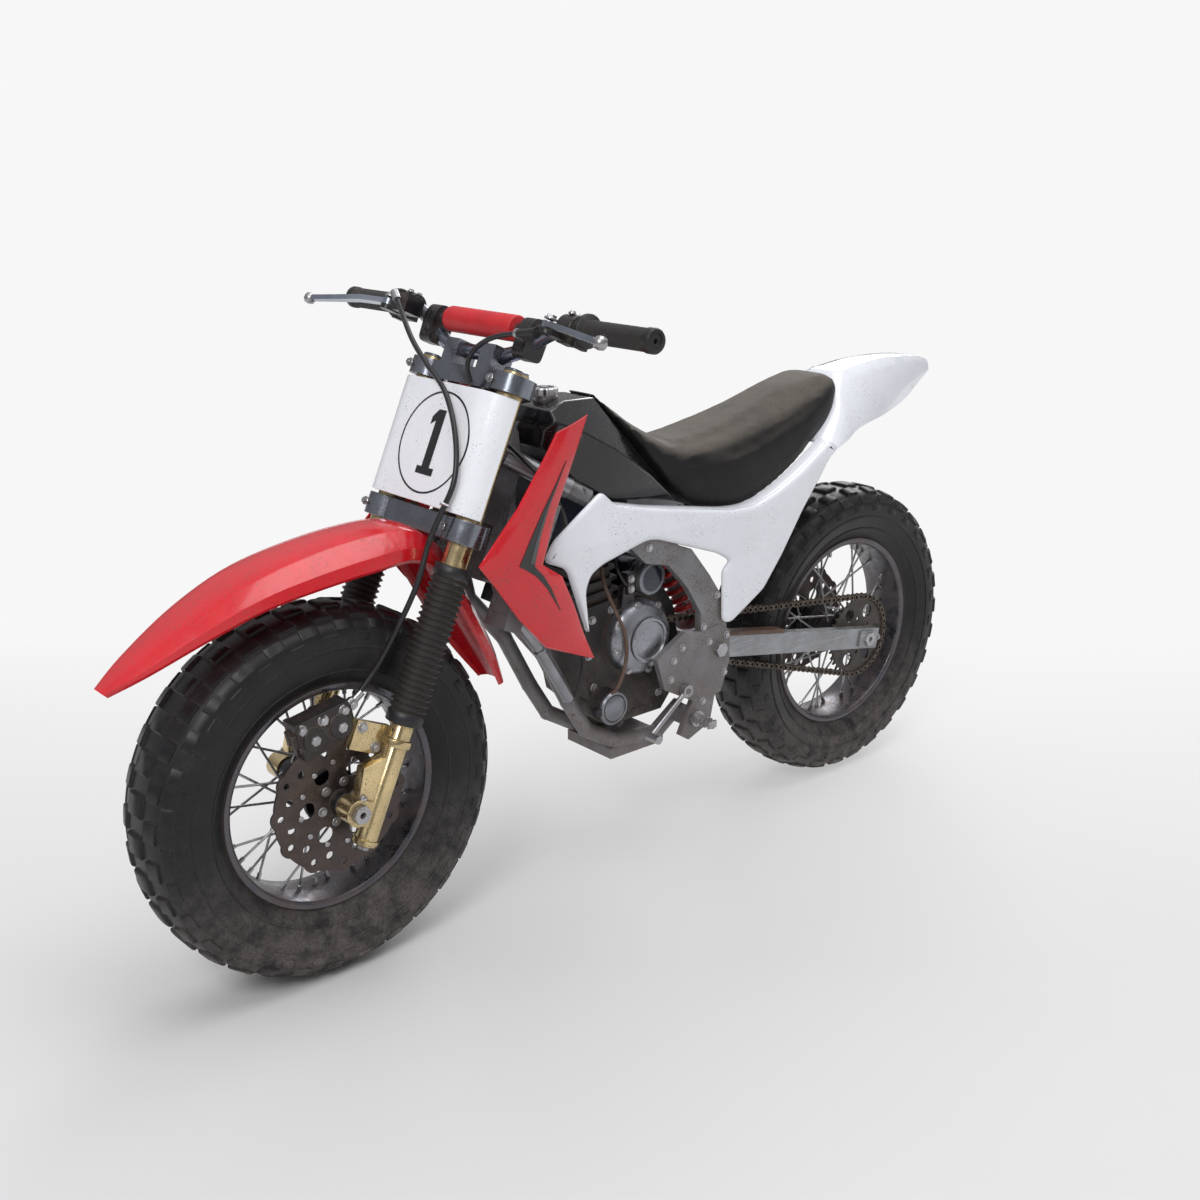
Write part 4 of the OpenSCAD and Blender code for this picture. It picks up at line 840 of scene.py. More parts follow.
TANK_STATIONS = [
    [59, 248, 15, 245, 19, 237, 17], [54, 254.5, 19, 249.5, 23, 231, 22], [43, 257.5, 16, 245, 27, 219, 26],
    [20, 256, 11, 232, 29, 206, 26], [-4, 230, 12, 216, 27.5, 203, 24.5], [-26, 202, 18, 200, 22, 198, 22]]
SEAT_STATIONS = [
    [19.5, 260, 7, 259, 11, 257.5], [0, 243, 10, 241, 18, 236.5], [-24, 229.5, 11, 226, 24, 206.5],
    [-42, 227.5, 12, 224, 27, 192], [-70, 232, 13, 227, 28, 189], [-100, 239, 13, 233, 27, 197],
    [-128, 247, 13, 240, 25, 213], [-148, 251, 12, 246, 22, 226], [-158, 249.5, 9, 247.5, 17, 240]]
PANEL_OUTLINE = [
    (38, 216), (29, 208), (4, 202), (-24, 197), (-52, 192), (-70, 191.5), (-86, 196), (-106, 205),
    (-129, 219), (-137, 214), (-130, 209), (-109, 183), (-93, 160), (-79, 143), (-54, 129), (-48, 131),
    (-47, 160), (-53, 164), (-43, 170), (0, 185), (8, 186), (20, 183), (37, 179), (45, 175), (48, 167),
    (47, 145), (60, 181), (74, 187), (68, 196)]
PANEL_Y = 39.5
TAIL_STATIONS = [
    [-132, 217, 27, 211, 37], [-150, 231, 24, 215, 33], [-163, 248, 13, 219, 29], [-176, 251, 12, 221, 26],
    [-200, 253.5, 11, 223, 20], [-225, 253.5, 9, 228, 14], [-245, 251, 6, 236, 9],
    [-259, 247.4, 3.6, 241, 5.2]]
FENDER_STATIONS = [
    [278, 163, -45, 5, 2], [264, 173, -38, 12, 5], [240, 188, -30, 18, 9], [214, 200, -20, 21, 12],
    [188, 206.5, -12, 22, 14], [158, 210.5, -4, 22, 15], [133, 210, 12, 21, 14], [117, 200.5, 38, 20, 12],
    [108, 187, 58, 20, 10], [95, 162, 64, 20, 9], [84, 141, 68, 17, 8], [75, 120, 72, 9, 4]]
SHROUD_RUNGS = [
    [72, 250, 46.5, 53, 256, 46], [79, 241, 47.5, 59, 243, 46.5], [97, 219, 49, 66, 229, 47],
    [112, 204, 49.6, 74, 214, 48], [120, 196, 50, 83, 190, 49], [112, 186, 49.8, 71, 182, 48.4],
    [97, 166, 48.8, 63, 166, 47.4], [80, 148, 47, 56, 150, 46], [52, 136, 44.6, 48, 135, 44.4]]
WALL = 1.6
SHROUD_WALL = 1.2


def inflated(obj, voxel, pressure, cap):
    """Lets a padded piece swell a little under its cover, each point by cap millimetres at most."""
    evening = obj.modifiers.new("even", "REMESH")
    evening.mode = "VOXEL"
    evening.voxel_size = voxel * MM
    applied(obj)
    rest = [(v.co.copy(), v.normal.copy()) for v in obj.data.vertices]
    cloth = obj.modifiers.new("swell", "CLOTH")
    cloth.settings.use_pressure = True
    cloth.settings.uniform_pressure_force = pressure
    cloth.settings.effector_weights.gravity = 0
    for step in range(1, 21):
        bpy.context.scene.frame_set(step)
    applied(obj)
    bpy.context.scene.frame_set(1)
    for vertex, (start, normal) in zip(obj.data.vertices, rest):
        swell = (vertex.co - start).dot(normal)
        vertex.co = start + normal * min(max(swell, 0), cap * MM)
    smooth = obj.modifiers.new("finer", "SUBSURF")
    smooth.levels = smooth.render_levels = 1
    applied(obj)
    obj.data.materials.clear()
    obj.data.shade_smooth()
    return obj


def seat_shape(shrink=0.6):
    rings = []
    for x, top, top_y, shoulder, side_y, low in along(SEAT_STATIONS, 4):
        side_y, top, low = side_y - shrink, top - shrink, low + shrink * 0.5
        half = [(top_y * 0.5, top + 0.25), (top_y, top),
                (side_y * 0.80, shoulder + (top - shoulder) * 0.22),
                (side_y * 0.93, shoulder - (shoulder - low) * 0.10),
                (side_y * 0.985, shoulder * 0.6 + low * 0.4),
                (side_y, shoulder * 0.25 + low * 0.75), (side_y - 0.8, low)]
        rings.append(mirrored_ring(x, half))
    return outward(loft(rings))


def build_seat():
    seat = piece("seat_pad", seat_shape(), BIKE, "seat_vinyl", "frame", ["seat"])
    inflated(seat, voxel=2.4, pressure=3.0, cap=1.2)
    seat.data.materials.append(LOOKS["seat_vinyl"])


def tank_shape():
    rings = []
    for x, top, top_y, shoulder, side_y, low, low_y in TANK_STATIONS:
        half = [(top_y, top), (side_y, shoulder), (low_y, low)]
        rings.append(mirrored_ring(x, half))
    return outward(loft(rings))


def knurled_cap():
    """Filler cap with a lobed rim, a groove and a raised middle."""
    angles = [2 * math.pi * i / 96 for i in range(96)]
    rings = []
    for z, r, lobe in ((-2, 6.4, 0), (0.4, 6.6, 0), (0.5, 5.6, 0), (1.2, 5.6, 0), (1.3, 6.3, 0.45),
                       (4.2, 6.3, 0.45), (4.8, 5.6, 0.3), (4.8, 4.2, 0), (4.2, 4.0, 0), (4.2, 2.4, 0),
                       (5.2, 2.1, 0)):
        rings.append([((r + lobe * math.cos(12 * a)) * math.cos(a),
                       (r + lobe * math.cos(12 * a)) * math.sin(a), z) for a in angles])
    return loft(rings)


def build_tank():
    tank = piece("tank_shell", tank_shape(), BIKE, "tank_black", "frame", ["fuel_tank"], bevel=1.3,
                 segments=4, smooth=30)
    tank.modifiers["edges"].profile = 0.6
    piece("tank_cap", moved(knurled_cap(), shift(42, 0, 257.4)), BIKE, "steel", "frame", smooth=30)


def side_panel():
    outline = rounded(PANEL_OUTLINE, 3.4)
    panel = crowned_plate(outline, 36.6, PANEL_Y, crown=3.2, fall=2.2)
    # The upper edge rolls over and leans in under the seat
    path = along([[30, 207.4], [16, 204.0], [4, 201.2], [-24, 196.2], [-52, 191.3], [-70, 190.8],
                  [-86, 195.2], [-106, 204.2], [-128, 217.6]], 4)
    section = [(38.9, -3.4), (38.4, -0.9), (37.2, 0.5), (35.2, 1.2), (32.4, 1.5), (29.6, 1.2), (29.6, -0.4),
               (33, -0.2), (36.6, -1.2), (37.4, -3.4)]
    roll = outward(loft([[(x, y, z + dz) for y, dz in section] for x, z in path]))
    return merged(panel, roll)


def tail_shape():
    rings = []
    for x, top, top_y, low, low_y in along(TAIL_STATIONS, 5):
        bulge = 0.08 * (low_y - top_y)
        outer = [(low_y, low), (low_y * 0.8 + top_y * 0.2 + bulge, low * 0.78 + top * 0.22),
                 (low_y * 0.5 + top_y * 0.5 + bulge * 1.5, low * 0.5 + top * 0.5),
                 (low_y * 0.2 + top_y * 0.8 + bulge, low * 0.2 + top * 0.8), (top_y * 0.92, top - 0.2),
                 (top_y * 0.5, top + 0.5), (0, top + 0.7)]
        lining = [(max(y - WALL, 0.3), z - (WALL if i > 3 else 0)) for i, (y, z) in enumerate(outer[:-1])]
        outer += [(-y, z) for y, z in reversed(outer[:-1])]
        inner = [(-y, z) for y, z in lining] + [(0, top + 0.7 - WALL)] + lining[::-1]
        rings.append([(x, y, z) for y, z in outer + inner])
    return outward(loft(rings))


def fender_shape():
    rings = []
    for x, z, tilt, half_y, drop in along(FENDER_STATIONS, 5):
        n = (math.sin(math.radians(-tilt)), math.cos(math.radians(-tilt)))
        outer = [(1.0, 1.0), (0.96, 0.62), (0.66, 0.15), (0.60, 0.10), (0.3, 0.02), (0, 0)]
        outer = [(half_y * a, drop * b) for a, b in outer]
        outer = outer + [(-y, d) for y, d in reversed(outer[:-1])]
        lining = [(y * 0.94, d + WALL) for y, d in reversed(outer)]
        rings.append([(x - d * n[0], y, z - d * n[1]) for y, d in outer + lining])
    return outward(loft(rings))


def shroud_point(t, s, out=0.0):
    """Point on a shroud's outer face: t counts rungs from the top tip, s runs from front to rear edge."""
    i = min(int(t), len(SHROUD_RUNGS) - 2)
    k = t - i
    rung = [a * (1 - k) + b * k for a, b in zip(SHROUD_RUNGS[i], SHROUD_RUNGS[i + 1])]
    crease = 1.6 * (rung[0] - rung[3]) / 37 * (1 - abs(2 * s - 1))
    return Vector((rung[0] * (1 - s) + rung[3] * s, rung[2] * (1 - s) + rung[5] * s + crease + out,
                   rung[1] * (1 - s) + rung[4] * s))


def shroud_shape():
    rings = []
    spots = [0, 0.06, 0.28, 0.5, 0.72, 0.94, 1]
    steps = len(SHROUD_RUNGS) * 2 - 1
    for j in range(steps):
        t = j / 2
        outer = [shroud_point(t, s, -0.5 if s in (0, 1) else 0) for s in spots]
        rings.append(outer + [shroud_point(t, s, -SHROUD_WALL) for s in reversed(spots)])
    return outward(loft(rings))


def shroud_patch(edges, out, y_thick=0.25):
    """Thin raised patch on the shroud; edges lists (t, s of its front edge, s of its rear edge)."""
    top = []
    for t, s0, s1 in edges:
        top.append([shroud_point(t, s0 + (s1 - s0) * k / 3, out) for k in range(4)])
    rings = [row + [p - Vector((0, y_thick, 0)) for p in reversed(row)] for row in top]
    return outward(loft(rings))


def build_shrouds():
    black = shroud_patch([(1.35, 0.725, 0.735), (2.0, 0.69, 0.75), (2.7, 0.66, 0.775), (3.4, 0.62, 0.80),
                          (4.0, 0.58, 0.84), (4.25, 0.62, 0.80), (4.7, 0.65, 0.765), (5.3, 0.675, 0.735),
                          (6.0, 0.70, 0.705)], 0.3)
    # Grey band inside the black stripe: a painted highlight where the glossy stripe would catch the light
    highlight_band = shroud_patch([(2.1, 0.735, 0.745), (2.8, 0.735, 0.77), (3.5, 0.74, 0.80), (3.95, 0.75, 0.83)],
                        0.45)
    facet = shroud_patch([(4.06, 0.60, 0.97), (4.3, 0.62, 0.95), (4.75, 0.72, 0.86)], 0.22, 0.5)
    for side, turned in SIDES:
        name = side + "_shroud"
        piece(name + "_skin", turned(shroud_shape()), BIKE, "body_red", "frame", [name], bevel=0.35,
              segments=2, smooth=22)
        piece(name + "_facet", turned(facet), BIKE, "body_red", "frame", smooth=20)
        piece(name + "_stripe", turned(black), BIKE, "ink", "frame", smooth=30)
        # Piece that carries the painted highlight on the black stripe
        piece(name + "_stripe_painted_highlight", turned(highlight_band), BIKE, "painted_highlight_grey", "frame",
              smooth=30)


def build_body():
    for side, turned in SIDES:
        name = side + "_side_panel"
        piece(name + "_skin", turned(side_panel()), BIKE, "body_white", "frame", [name], smooth=50)
    piece("tail_skin", tail_shape(), BIKE, "body_white", "frame", ["tail_fairing"], smooth=55)
    tab = slab([(-236, 233), (-247, 237.5), (-251, 235), (-247, 230), (-240, 229)], -2.2, 2.2)
    piece("tail_tab", tab, BIKE, "black_plastic", "frame", bevel=0.5)
    piece("fender_skin", fender_shape(), BIKE, "body_red", "steering", ["front_fender"], smooth=24)


# ---------- number plate ----------

PLATE_U = 31
PLATE_CORNER = 14.6
PLATE_TRIM = 2.0
PLATE_FLAT_Y = 26.4
MARK_Y = 5.5
MARK_W = 31


def plate_place(y, w, out=0.0):
    """Point on the plate's front: flat in the middle, then round the corners."""
    past = abs(y) - PLATE_FLAT_Y
    if past <= 0:
        return Vector((PLATE_U + out, y, w))
    a = past / PLATE_CORNER
    r = PLATE_CORNER + out
    side = 1 if y > 0 else -1
    return Vector((PLATE_U - PLATE_CORNER + r * math.cos(a), side * (PLATE_FLAT_Y + r * math.sin(a)), w))


def plate_shape():
    reach = PLATE_FLAT_Y + PLATE_CORNER * math.pi / 2 - PLATE_TRIM
    spots = [reach * k / 26 for k in range(-26, 27)]
    rings = []
    low, high = 2.7, 59.5
    for y in spots:
        front, back = plate_place(y, 0, 0), plate_place(y, 0, -WALL)
        lip = front * 0.8 + back * 0.2
        rings.append([(p.x, p.y, w) for p, w in ((front, low + 0.3), (front, high - 0.3), (lip, high),
                                                 (back, high), (back, low), (lip, low))])
    return outward(loft(rings))


def plate_ring(half_y, half_w, width, out):
    """Thin oval line round the plate's mark."""
    rings = []
    steps = 72
    for i in range(steps):
        a = 2 * math.pi * i / steps
        c, s = math.cos(a), math.sin(a)
        near, far = ((MARK_Y + (half_y + d) * c, MARK_W + (half_w + d) * s) for d in (-width / 2, width / 2))
        corners = ((near, out), (far, out), (far, 0.02), (near, 0.02))
        rings.append([plate_place(*spot, lift) for spot, lift in corners])
    return outward(loft(rings, loop=True))


def plate_mark(outline, out):
    """Flat mark on the plate from an outline in Y (to the bike's left) and W, from the mark's middle."""
    return outward(loft([[plate_place(MARK_Y + y, MARK_W + w, lift) for y, w in outline]
                         for lift in (0.02, out)]))


def build_plate():
    piece("plate_skin", plate_shape(), STEER, "plate_white", "steering", ["number_plate"], smooth=40)
    piece("plate_ring", plate_ring(25, 24, 0.9, 0.14), STEER, "ink", "steering",
          smooth=40)
    stroke = [(-2.6, 15.5), (3.0, 15.5), (3.0, -12), (6.6, -12), (6.6, -15.5), (-6.4, -15.5), (-6.4, -12),
              (-2.8, -12), (-2.8, 10), (-6.2, 8), (-6.2, 11.6)]
    piece("plate_numeral", plate_mark(stroke, 0.16), STEER, "ink", "steering",
          smooth=20)


# ---------- fork, handlebar and controls ----------

FORK_U = 18
FORK_Y = 32
BOOT_LOW = -95
BOOT_HIGH = -20
BAR_U = 20
BAR_TOP = 95
BAR_LOW = 78
LEVER_U = 33
LEVER_Y = 62.5
LEVER_W = 90.5


def lying(shape):
    """Turns a shape made about Z so that its Z points to the left."""
    return moved(shape, turn(-90, "X"))


def boot_shape():
    ribs = 22
    low, high = BOOT_LOW, BOOT_HIGH
    pitch = (high - low - 12) / ribs
    profile = [(6.0, low), (8.2, low), (8.7, low + 0.5), (8.7, low + 5), (8.2, low + 5.6)]
    for i in range(ribs):
        for share, r in ((0.0, 7.5), (0.2, 7.9), (0.4, 8.9), (0.6, 8.9), (0.8, 7.9)):
            profile.append((r, low + 6 + (i + share) * pitch))
    profile += [(7.5, high - 6), (8.2, high - 5.6), (8.7, high - 5), (8.7, high - 0.5), (8.2, high),
                (6.8, high)]
    profile += [(6.8, low + 6), (6.0, low + 5)]
    return lathe(profile, 48)


def on_leg(shape, w):
    """Puts a round shape on both fork legs at a height in the steering frame."""
    return merged(*[moved(shape, shift(FORK_U, s * FORK_Y, w)) for s in (-1, 1)])


def fork_details():
    """Axle pinch bolts, the calliper's bolts and the bottom screws of both fork legs."""
    pinch = bolts([(FORK_U + 11.2, y, -131.4) for y in (28.6, 35.4, -28.6, -35.4)], (0.5, 0, 1), 1.6, 1.5)
    tab = bolts([(FORK_U + 18, 28.1, -101), (FORK_U + 8, 28.1, -109)], (0, 1, 0), 1.9, 1.6)
    return merged(pinch, tab, on_leg(disc(3.0, -1.4, 0.4, 6, 0.3), -154))


def leg_ribs():
    """Cast steps on the fork legs: a collar below the boot and a thinner one at the foot."""
    collar = lathe([(4.8, -2.2), (6.6, -1.6), (6.9, 0), (6.6, 1.6), (4.8, 2.2)], 40)
    foot = lathe([(4.8, -1.2), (6.2, -0.8), (6.2, 0.8), (4.8, 1.2)], 40)
    return merged(on_leg(collar, -104), on_leg(foot, -151))


def handlebar_shape():
    path = [(BAR_U, -114, BAR_TOP), (BAR_U, -54, BAR_TOP), (FORK_U, -24, BAR_LOW), (FORK_U, 24, BAR_LOW),
            (BAR_U, 54, BAR_TOP), (BAR_U, 114, BAR_TOP)]
    line = rounded(path, 12, 8, closed=False)
    fine = []
    for a, b in zip(line, line[1:]):
        steps = max(1, int((b - a).length / 4))
        fine += [a.lerp(b, k / steps) for k in range(steps)]
    fine.append(line[-1])
    total = len(fine) - 1
    radii = {i / total: (3.55 if abs(p.y) < 70 else 2.75) for i, p in enumerate(fine)}
    bar = tube(fine, lambda share: radii[share], 20)
    cross = tube([(BAR_U, -39, BAR_LOW + 13.5), (BAR_U, 39, BAR_LOW + 13.5)], 2.4, 20)
    return merged(bar, cross)


def bar_clamps():
    """Rounded clamps that hold the cross bar on the handlebar's bends."""
    parts = []
    ear = rounded([(-5.6, -13.5), (5.6, -13.5), (6.2, 0), (4.0, 5.6), (-4.0, 5.6), (-6.2, 0)], 3)
    for y in (33.6, 36.6, 39.6):
        plate = prism([(p.x, p.y) for p in ear], -1.25, 1.25)
        parts.append(moved(plate, shift(BAR_U - 0.6, y, BAR_LOW + 13.5) @ turn(90, "X")))
    parts.append(moved(hex_bolt(2.4, 2.0), facing((BAR_U, 41.0, BAR_LOW + 13.5), (0, 1, 0))))
    parts.append(moved(hex_bolt(1.7, 1.5), facing((BAR_U + 5.2, 36.6, BAR_LOW + 6), (1, 0, 0))))
    return both(merged(*parts))


def pad_shape():
    length, r = 26, 6.2
    profile = [(2.5, -length), (r - 1.0, -length), (r - 0.3, -length + 0.3), (r, -length + 1.2),
               (r, length - 1.2), (r - 0.3, length - 0.3), (r - 1.0, length), (2.5, length)]
    return moved(lying(lathe(profile, 48)), shift(BAR_U, 0, BAR_LOW + 13.5))


def grip_shape():
    start, end, ribs = 72, 116.5, 26
    pitch = (end - start - 9) / ribs
    profile = [(2.9, start), (7.2, start), (7.6, start + 0.5), (7.6, start + 1.6), (7.2, start + 2.1),
               (5.2, start + 3)]
    for i in range(ribs):
        for share, r in ((0.1, 4.55), (0.35, 5.05), (0.65, 5.05), (0.9, 4.55)):
            profile.append((r, start + 3.5 + (i + share) * pitch))
    profile += [(5.1, end - 5), (5.5, end - 4.4), (5.5, end - 1), (5.0, end - 0.2), (3.4, end),
                (3.2, end - 0.8), (1.2, end - 0.8), (1.2, end - 1.4), (2.9, end - 1.4)]
    return moved(lying(lathe(profile, 48)), shift(BAR_U, 0, BAR_TOP))


def perch_details():
    """Clamp, switch housing and the lever's arm for the left side, and the bright screws on them."""
    on_bar = merged(lying(disc(6.2, 57.6, 67.4, 32, 0.6)), block(-3.6, 3.6, 58.4, 66.6, -7.4, -4),
                    lying(disc(5.4, 68.2, 71.6, 32, 0.5)), block(-4.5, 3.5, 67.8, 71.4, -8.2, -2))
    arm = block(BAR_U + 4, LEVER_U - 3, 59.5, 65.5, LEVER_W - 2.2, LEVER_W + 2.6)
    bright = [moved(hex_bolt(2.3, 1.7), shift(LEVER_U, LEVER_Y, LEVER_W + 4.4))]
    bright += [moved(hex_bolt(1.4, 1.3), shift(BAR_U + du, LEVER_Y, BAR_TOP + 6.0)) for du in (2.6, -2.6)]
    return merged(moved(on_bar, shift(BAR_U, 0, BAR_TOP)), arm), merged(*bright)


def calliper_details():
    """Bolts, piston caps and a bleed nipple in the calliper's frame: X along the disc's rim, Z outwards."""
    parts = [moved(hex_bolt(2.0, 1.8), shift(x, -6, 23.8)) for x in (-11, 0, 11)]
    parts += [moved(hex_bolt(2.4, 1.2, washer=False), shift(x, 0, 26.3)) for x in (-7, 7)]
    parts.append(moved(disc(1.0, 0, 4.5, 12, 0.3), facing((-12.4, 6, 21), (-1, 0.4, 0))))
    bridges = [moved(block(-1.2, 1.2, -9.8, 2, 13.6, 24.5), shift(x, 0, 0)) for x in (-12.8, 0, 12.8)]
    return merged(*parts), merged(*bridges)


def build_callipers():
    small, bridges = calliper_details()
    front = FRONT @ turn(-79) @ shift(38, 0, 0) @ turn(90)
    rear = REAR @ turn(-60) @ shift(37, 0, 0) @ turn(90) @ Matrix.Diagonal((1, 1, -1, 1))
    for name, place, body in (("front", front, "fork_lower"), ("rear", rear, "swingarm")):
        piece(name + "_calliper_bolts", small, place, "steel", body, smooth=30)
        piece(name + "_calliper_bridges", bridges, place, "case_metal", body, bevel=0.4)


def build_fork():
    for side, s in (("left", 1), ("right", -1)):
        boot = piece("fork_boot_" + side, moved(boot_shape(), shift(FORK_U, s * FORK_Y, 0)), STEER,
                     "boot_rubber", "fork_lower", ["fork_boots"], smooth=50)
        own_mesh(boot)
    piece("fork_bolts", fork_details(), STEER, "steel", "fork_lower", smooth=30)
    piece("fork_leg_collars", leg_ribs(), STEER, "gold", "fork_lower", smooth=45)
    clamp_spots = [(FORK_U + 10.4, s * FORK_Y - 4, w) for s in (-1, 1) for w in (65.8, -4.2)]
    clamp_bolts = merged(bolts([(0, 0, 70.6)], (0, 0, 1), 5.2, 3.0), bolts(clamp_spots, (1, 0, 0), 1.6, 1.4))
    caps = on_leg(lathe([(0.5, 71), (5.6, 71), (5.8, 71.4), (5.8, 72.6), (5.2, 73), (3.2, 73), (2.8, 72.2),
                         (0.5, 72.2)], 40), 0)
    under = merged(*[moved(hex_bolt(2.1, 2.6), facing((FORK_U + 2, y, w), (0, 0, d)))
                     for y in (-20, -9, 9, 20) for w, d in ((61.4, -1), (1.3, 1))])
    piece("clamp_bolts", clamp_bolts, STEER, "steel", "steering", smooth=30)
    piece("fork_caps", caps, STEER, "clamp_blue", "steering", smooth=40)
    piece("clamp_rusty_bolts", under, STEER, "rusty", "steering", smooth=30)


def build_controls():
    piece("handlebar_tube", handlebar_shape(), STEER, "bar_steel", "steering", ["handlebar"], smooth=50)
    piece("bar_clamps", bar_clamps(), STEER, "black_plastic", "steering", bevel=0.4, smooth=35)
    piece("bar_pad_skin", pad_shape(), STEER, "pad_foam", "steering", ["bar_pad"], smooth=50)
    piece("left_grip_skin", grip_shape(), STEER, "grip_rubber", "steering", ["left_grip"], smooth=50)
    piece("throttle_grip_skin", flipped(grip_shape()), STEER, "grip_rubber", "throttle", ["throttle_grip"],
          smooth=50)
    housing, bright = perch_details()
    piece("clutch_housing", housing, STEER, "black_plastic", "steering", bevel=0.4)
    piece("brake_housing", flipped(housing), STEER, "black_plastic", "steering", bevel=0.4)
    piece("control_bolts", both(bright), STEER, "steel", "steering", smooth=30)
    tips = moved(lathe([(0.3, -2.9), (2.2, -2.4), (3.0, -1.0), (3.0, 1.0), (2.2, 2.4), (0.3, 2.9)], 28),
                 shift(LEVER_U + 13, LEVER_Y + 50.7, LEVER_W - 5.6))
    piece("clutch_lever_tip", tips, STEER, "spoke_steel", "clutch_lever", smooth=50)
    piece("brake_lever_tip", flipped(tips), STEER, "spoke_steel", "brake_lever", smooth=50)


HOSE_PATH = [(37, -52, 95), (38, -29, 77), (37, -12, 66), (36, 9.5, 54), (34.5, 25, 36), (33.5, 33, 17),
             (33.5, 31, 0), (32.5, 28, -13), (32, 28.5, -33), (33, 25.5, -56), (34, 21.5, -74),
             (39, 19, -92.5)]
CLUTCH_PATH = [(33, 57.5, 88), (33, 39, 85.8), (33, 25, 82), (32, 15, 76), (31, 12.5, 69), (27.5, 14, 62)]


def build_lines():
    line = piece("brake_hose", tube(curve(HOSE_PATH, 10), 1.3, 12), STEER, "cable_black", None,
                 ["control_cables"], smooth=60)
    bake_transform(line)
    piece("clutch_cable", tube(curve(CLUTCH_PATH, 10), 1.2, 12), STEER, "cable_black", "steering",
          ["control_cables"], smooth=60)
    sleeve = tube([(33, 56, 87.9), (33, 44, 86.5)], lambda t: 2.5 - 0.7 * t, 16)
    ends = [tube([(33, 44.4, 86.5), (33, 42.6, 86.3)], 2.3, 16),
            tube([(37, -54.5, 96.2), (37.1, -49.5, 92.6)], 2.1, 16)]
    piece("cable_sleeve", sleeve, STEER, "grip_rubber", "steering", smooth=50)
    piece("cable_ends", merged(*ends), STEER, "spoke_steel", "steering", smooth=40)
    banjo = merged(tube([(36.6, 20, -86.5), (38.4, 19.2, -90.6)], 1.9, 14),
                   moved(disc(3.1, -1.3, 1.3, 20, 0.3), facing((39.4, 19, -93), (0, 1, 0))),
                   moved(hex_bolt(2.0, 1.6), facing((39.4, 20.2, -93), (0, 1, 0))))
    piece("hose_banjo", banjo, STEER, "spoke_steel", "fork_lower", smooth=35)
    guide = merged(tube([(18, 24, 3), (30, 28, 4), (34.5, 31.5, 5)], 0.9, 10),
                   tube([(34.5, 30, 5), (35.4, 32.5, 5.4), (33.6, 34.4, 5.2), (32.2, 32.2, 4.8)], 0.7, 8,
                        closed=True))
    piece("hose_guide", guide, STEER, "steel", "steering", smooth=50)


# ---------- chain ----------

CHAIN_STEP = 4.254
FRONT_TEETH = 12
REAR_TEETH = 36
CHAIN_Y = 23.5
# Where the countershaft and the rear axle are, in X, Z of the bike
CRANK_SPOT = (-2, 129)
REAR_SPOT = (-180, 90)


def chain_loop():
    """Pin places along the chain, in X, Z of the bike."""
    front, rear = Vector(CRANK_SPOT), Vector(REAR_SPOT)
    r_front = FRONT_TEETH * CHAIN_STEP / (2 * math.pi)
    r_rear = REAR_TEETH * CHAIN_STEP / (2 * math.pi)
    span = rear - front
    onwards = span.normalized()
    up = Vector((onwards.y, -onwards.x))
    tilt = math.asin((r_rear - r_front) / span.length)
    c, s = math.cos(tilt), math.sin(tilt)
    above = up * c - onwards * s
    below = -up * c - onwards * s
    run = span.length * c
    wrap_rear = r_rear * (math.pi + 2 * tilt)
    wrap_front = r_front * (math.pi - 2 * tilt)
    total = 2 * run + wrap_rear + wrap_front
    count = 2 * round(total / CHAIN_STEP / 2)
    points = []
    for d in (i * total / count for i in range(count)):
        if d < run:
            p = front + above * r_front + Vector((-above.y, above.x)) * d
        elif d < run + wrap_rear:
            a = (d - run) / r_rear
            p = rear + r_rear * (math.cos(a) * above + math.sin(a) * (onwards * c + up * s))
        elif d < 2 * run + wrap_rear:
            p = rear + below * r_rear + Vector((-below.y, below.x)) * (d - run - wrap_rear)
        else:
            a = (d - 2 * run - wrap_rear) / r_front
            p = front + r_front * (math.cos(a) * below + math.sin(a) * (-onwards * c + up * s))
        points.append(p)
    return points


def link_plate(a, b, y0, y1, radius=1.75):
    """Figure-of-eight plate round two pins."""
    axis = (b - a).normalized()
    side = Vector((-axis.y, axis.x))
    ring = []
    for centre, sign in ((a, -1), (b, 1)):
        for k in range(-2, 3):
            q = math.radians(45 * k)
            ring.append(centre + sign * (axis * math.cos(q) + side * math.sin(q)) * radius)
    middle_of = (a + b) / 2
    ring.insert(5, middle_of - side * radius * 0.62)
    ring.append(middle_of + side * radius * 0.62)
    return outward(loft([[(p.x, y0, p.y) for p in ring], [(p.x, y1, p.y) for p in ring]]))


def chain_shape():
    pins = chain_loop()
    parts = []
    for i, a in enumerate(pins):
        b = pins[(i + 1) % len(pins)]
        far = 1.45 if i % 2 else 0.95
        for s in (-1, 1):
            y = sorted((CHAIN_Y + s * far, CHAIN_Y + s * (far + 0.45)))
            parts.append(link_plate(a, b, *y))
        parts.append(moved(disc(1.05, -1.9, 1.9, 8, 0.1), shift(a.x, CHAIN_Y, a.y) @ turn(90, "X")))
    return merged(*parts)


def build_chain():
    chain = piece("chain_links", chain_shape(), BIKE, "chain_steel", None, ["chain"], smooth=35)
    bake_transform(chain)


# ---------- engine ----------

def cover_dome():
    """Domed clutch cover with a raised ring and cap."""
    r = 20.5
    profile = [(0.2, 25.8), (14.5, 25.8), (14.5, 18.4), (r - 0.3, 18.4), (r + 0.2, 18.9), (r + 0.2, 22.2),
               (r - 0.6, 23.6), (r - 1.6, 25.2), (r - 4, 27.0), (r - 7, 28.3), (12.9, 28.9), (12.5, 29.0),
               (12.3, 30.4), (11.6, 31.0), (10.4, 31.1), (10.0, 30.6), (9.9, 29.9), (9.2, 29.7),
               (8.0, 29.8), (4, 30.3), (0.2, 30.4)]
    return lathe(profile, 96)


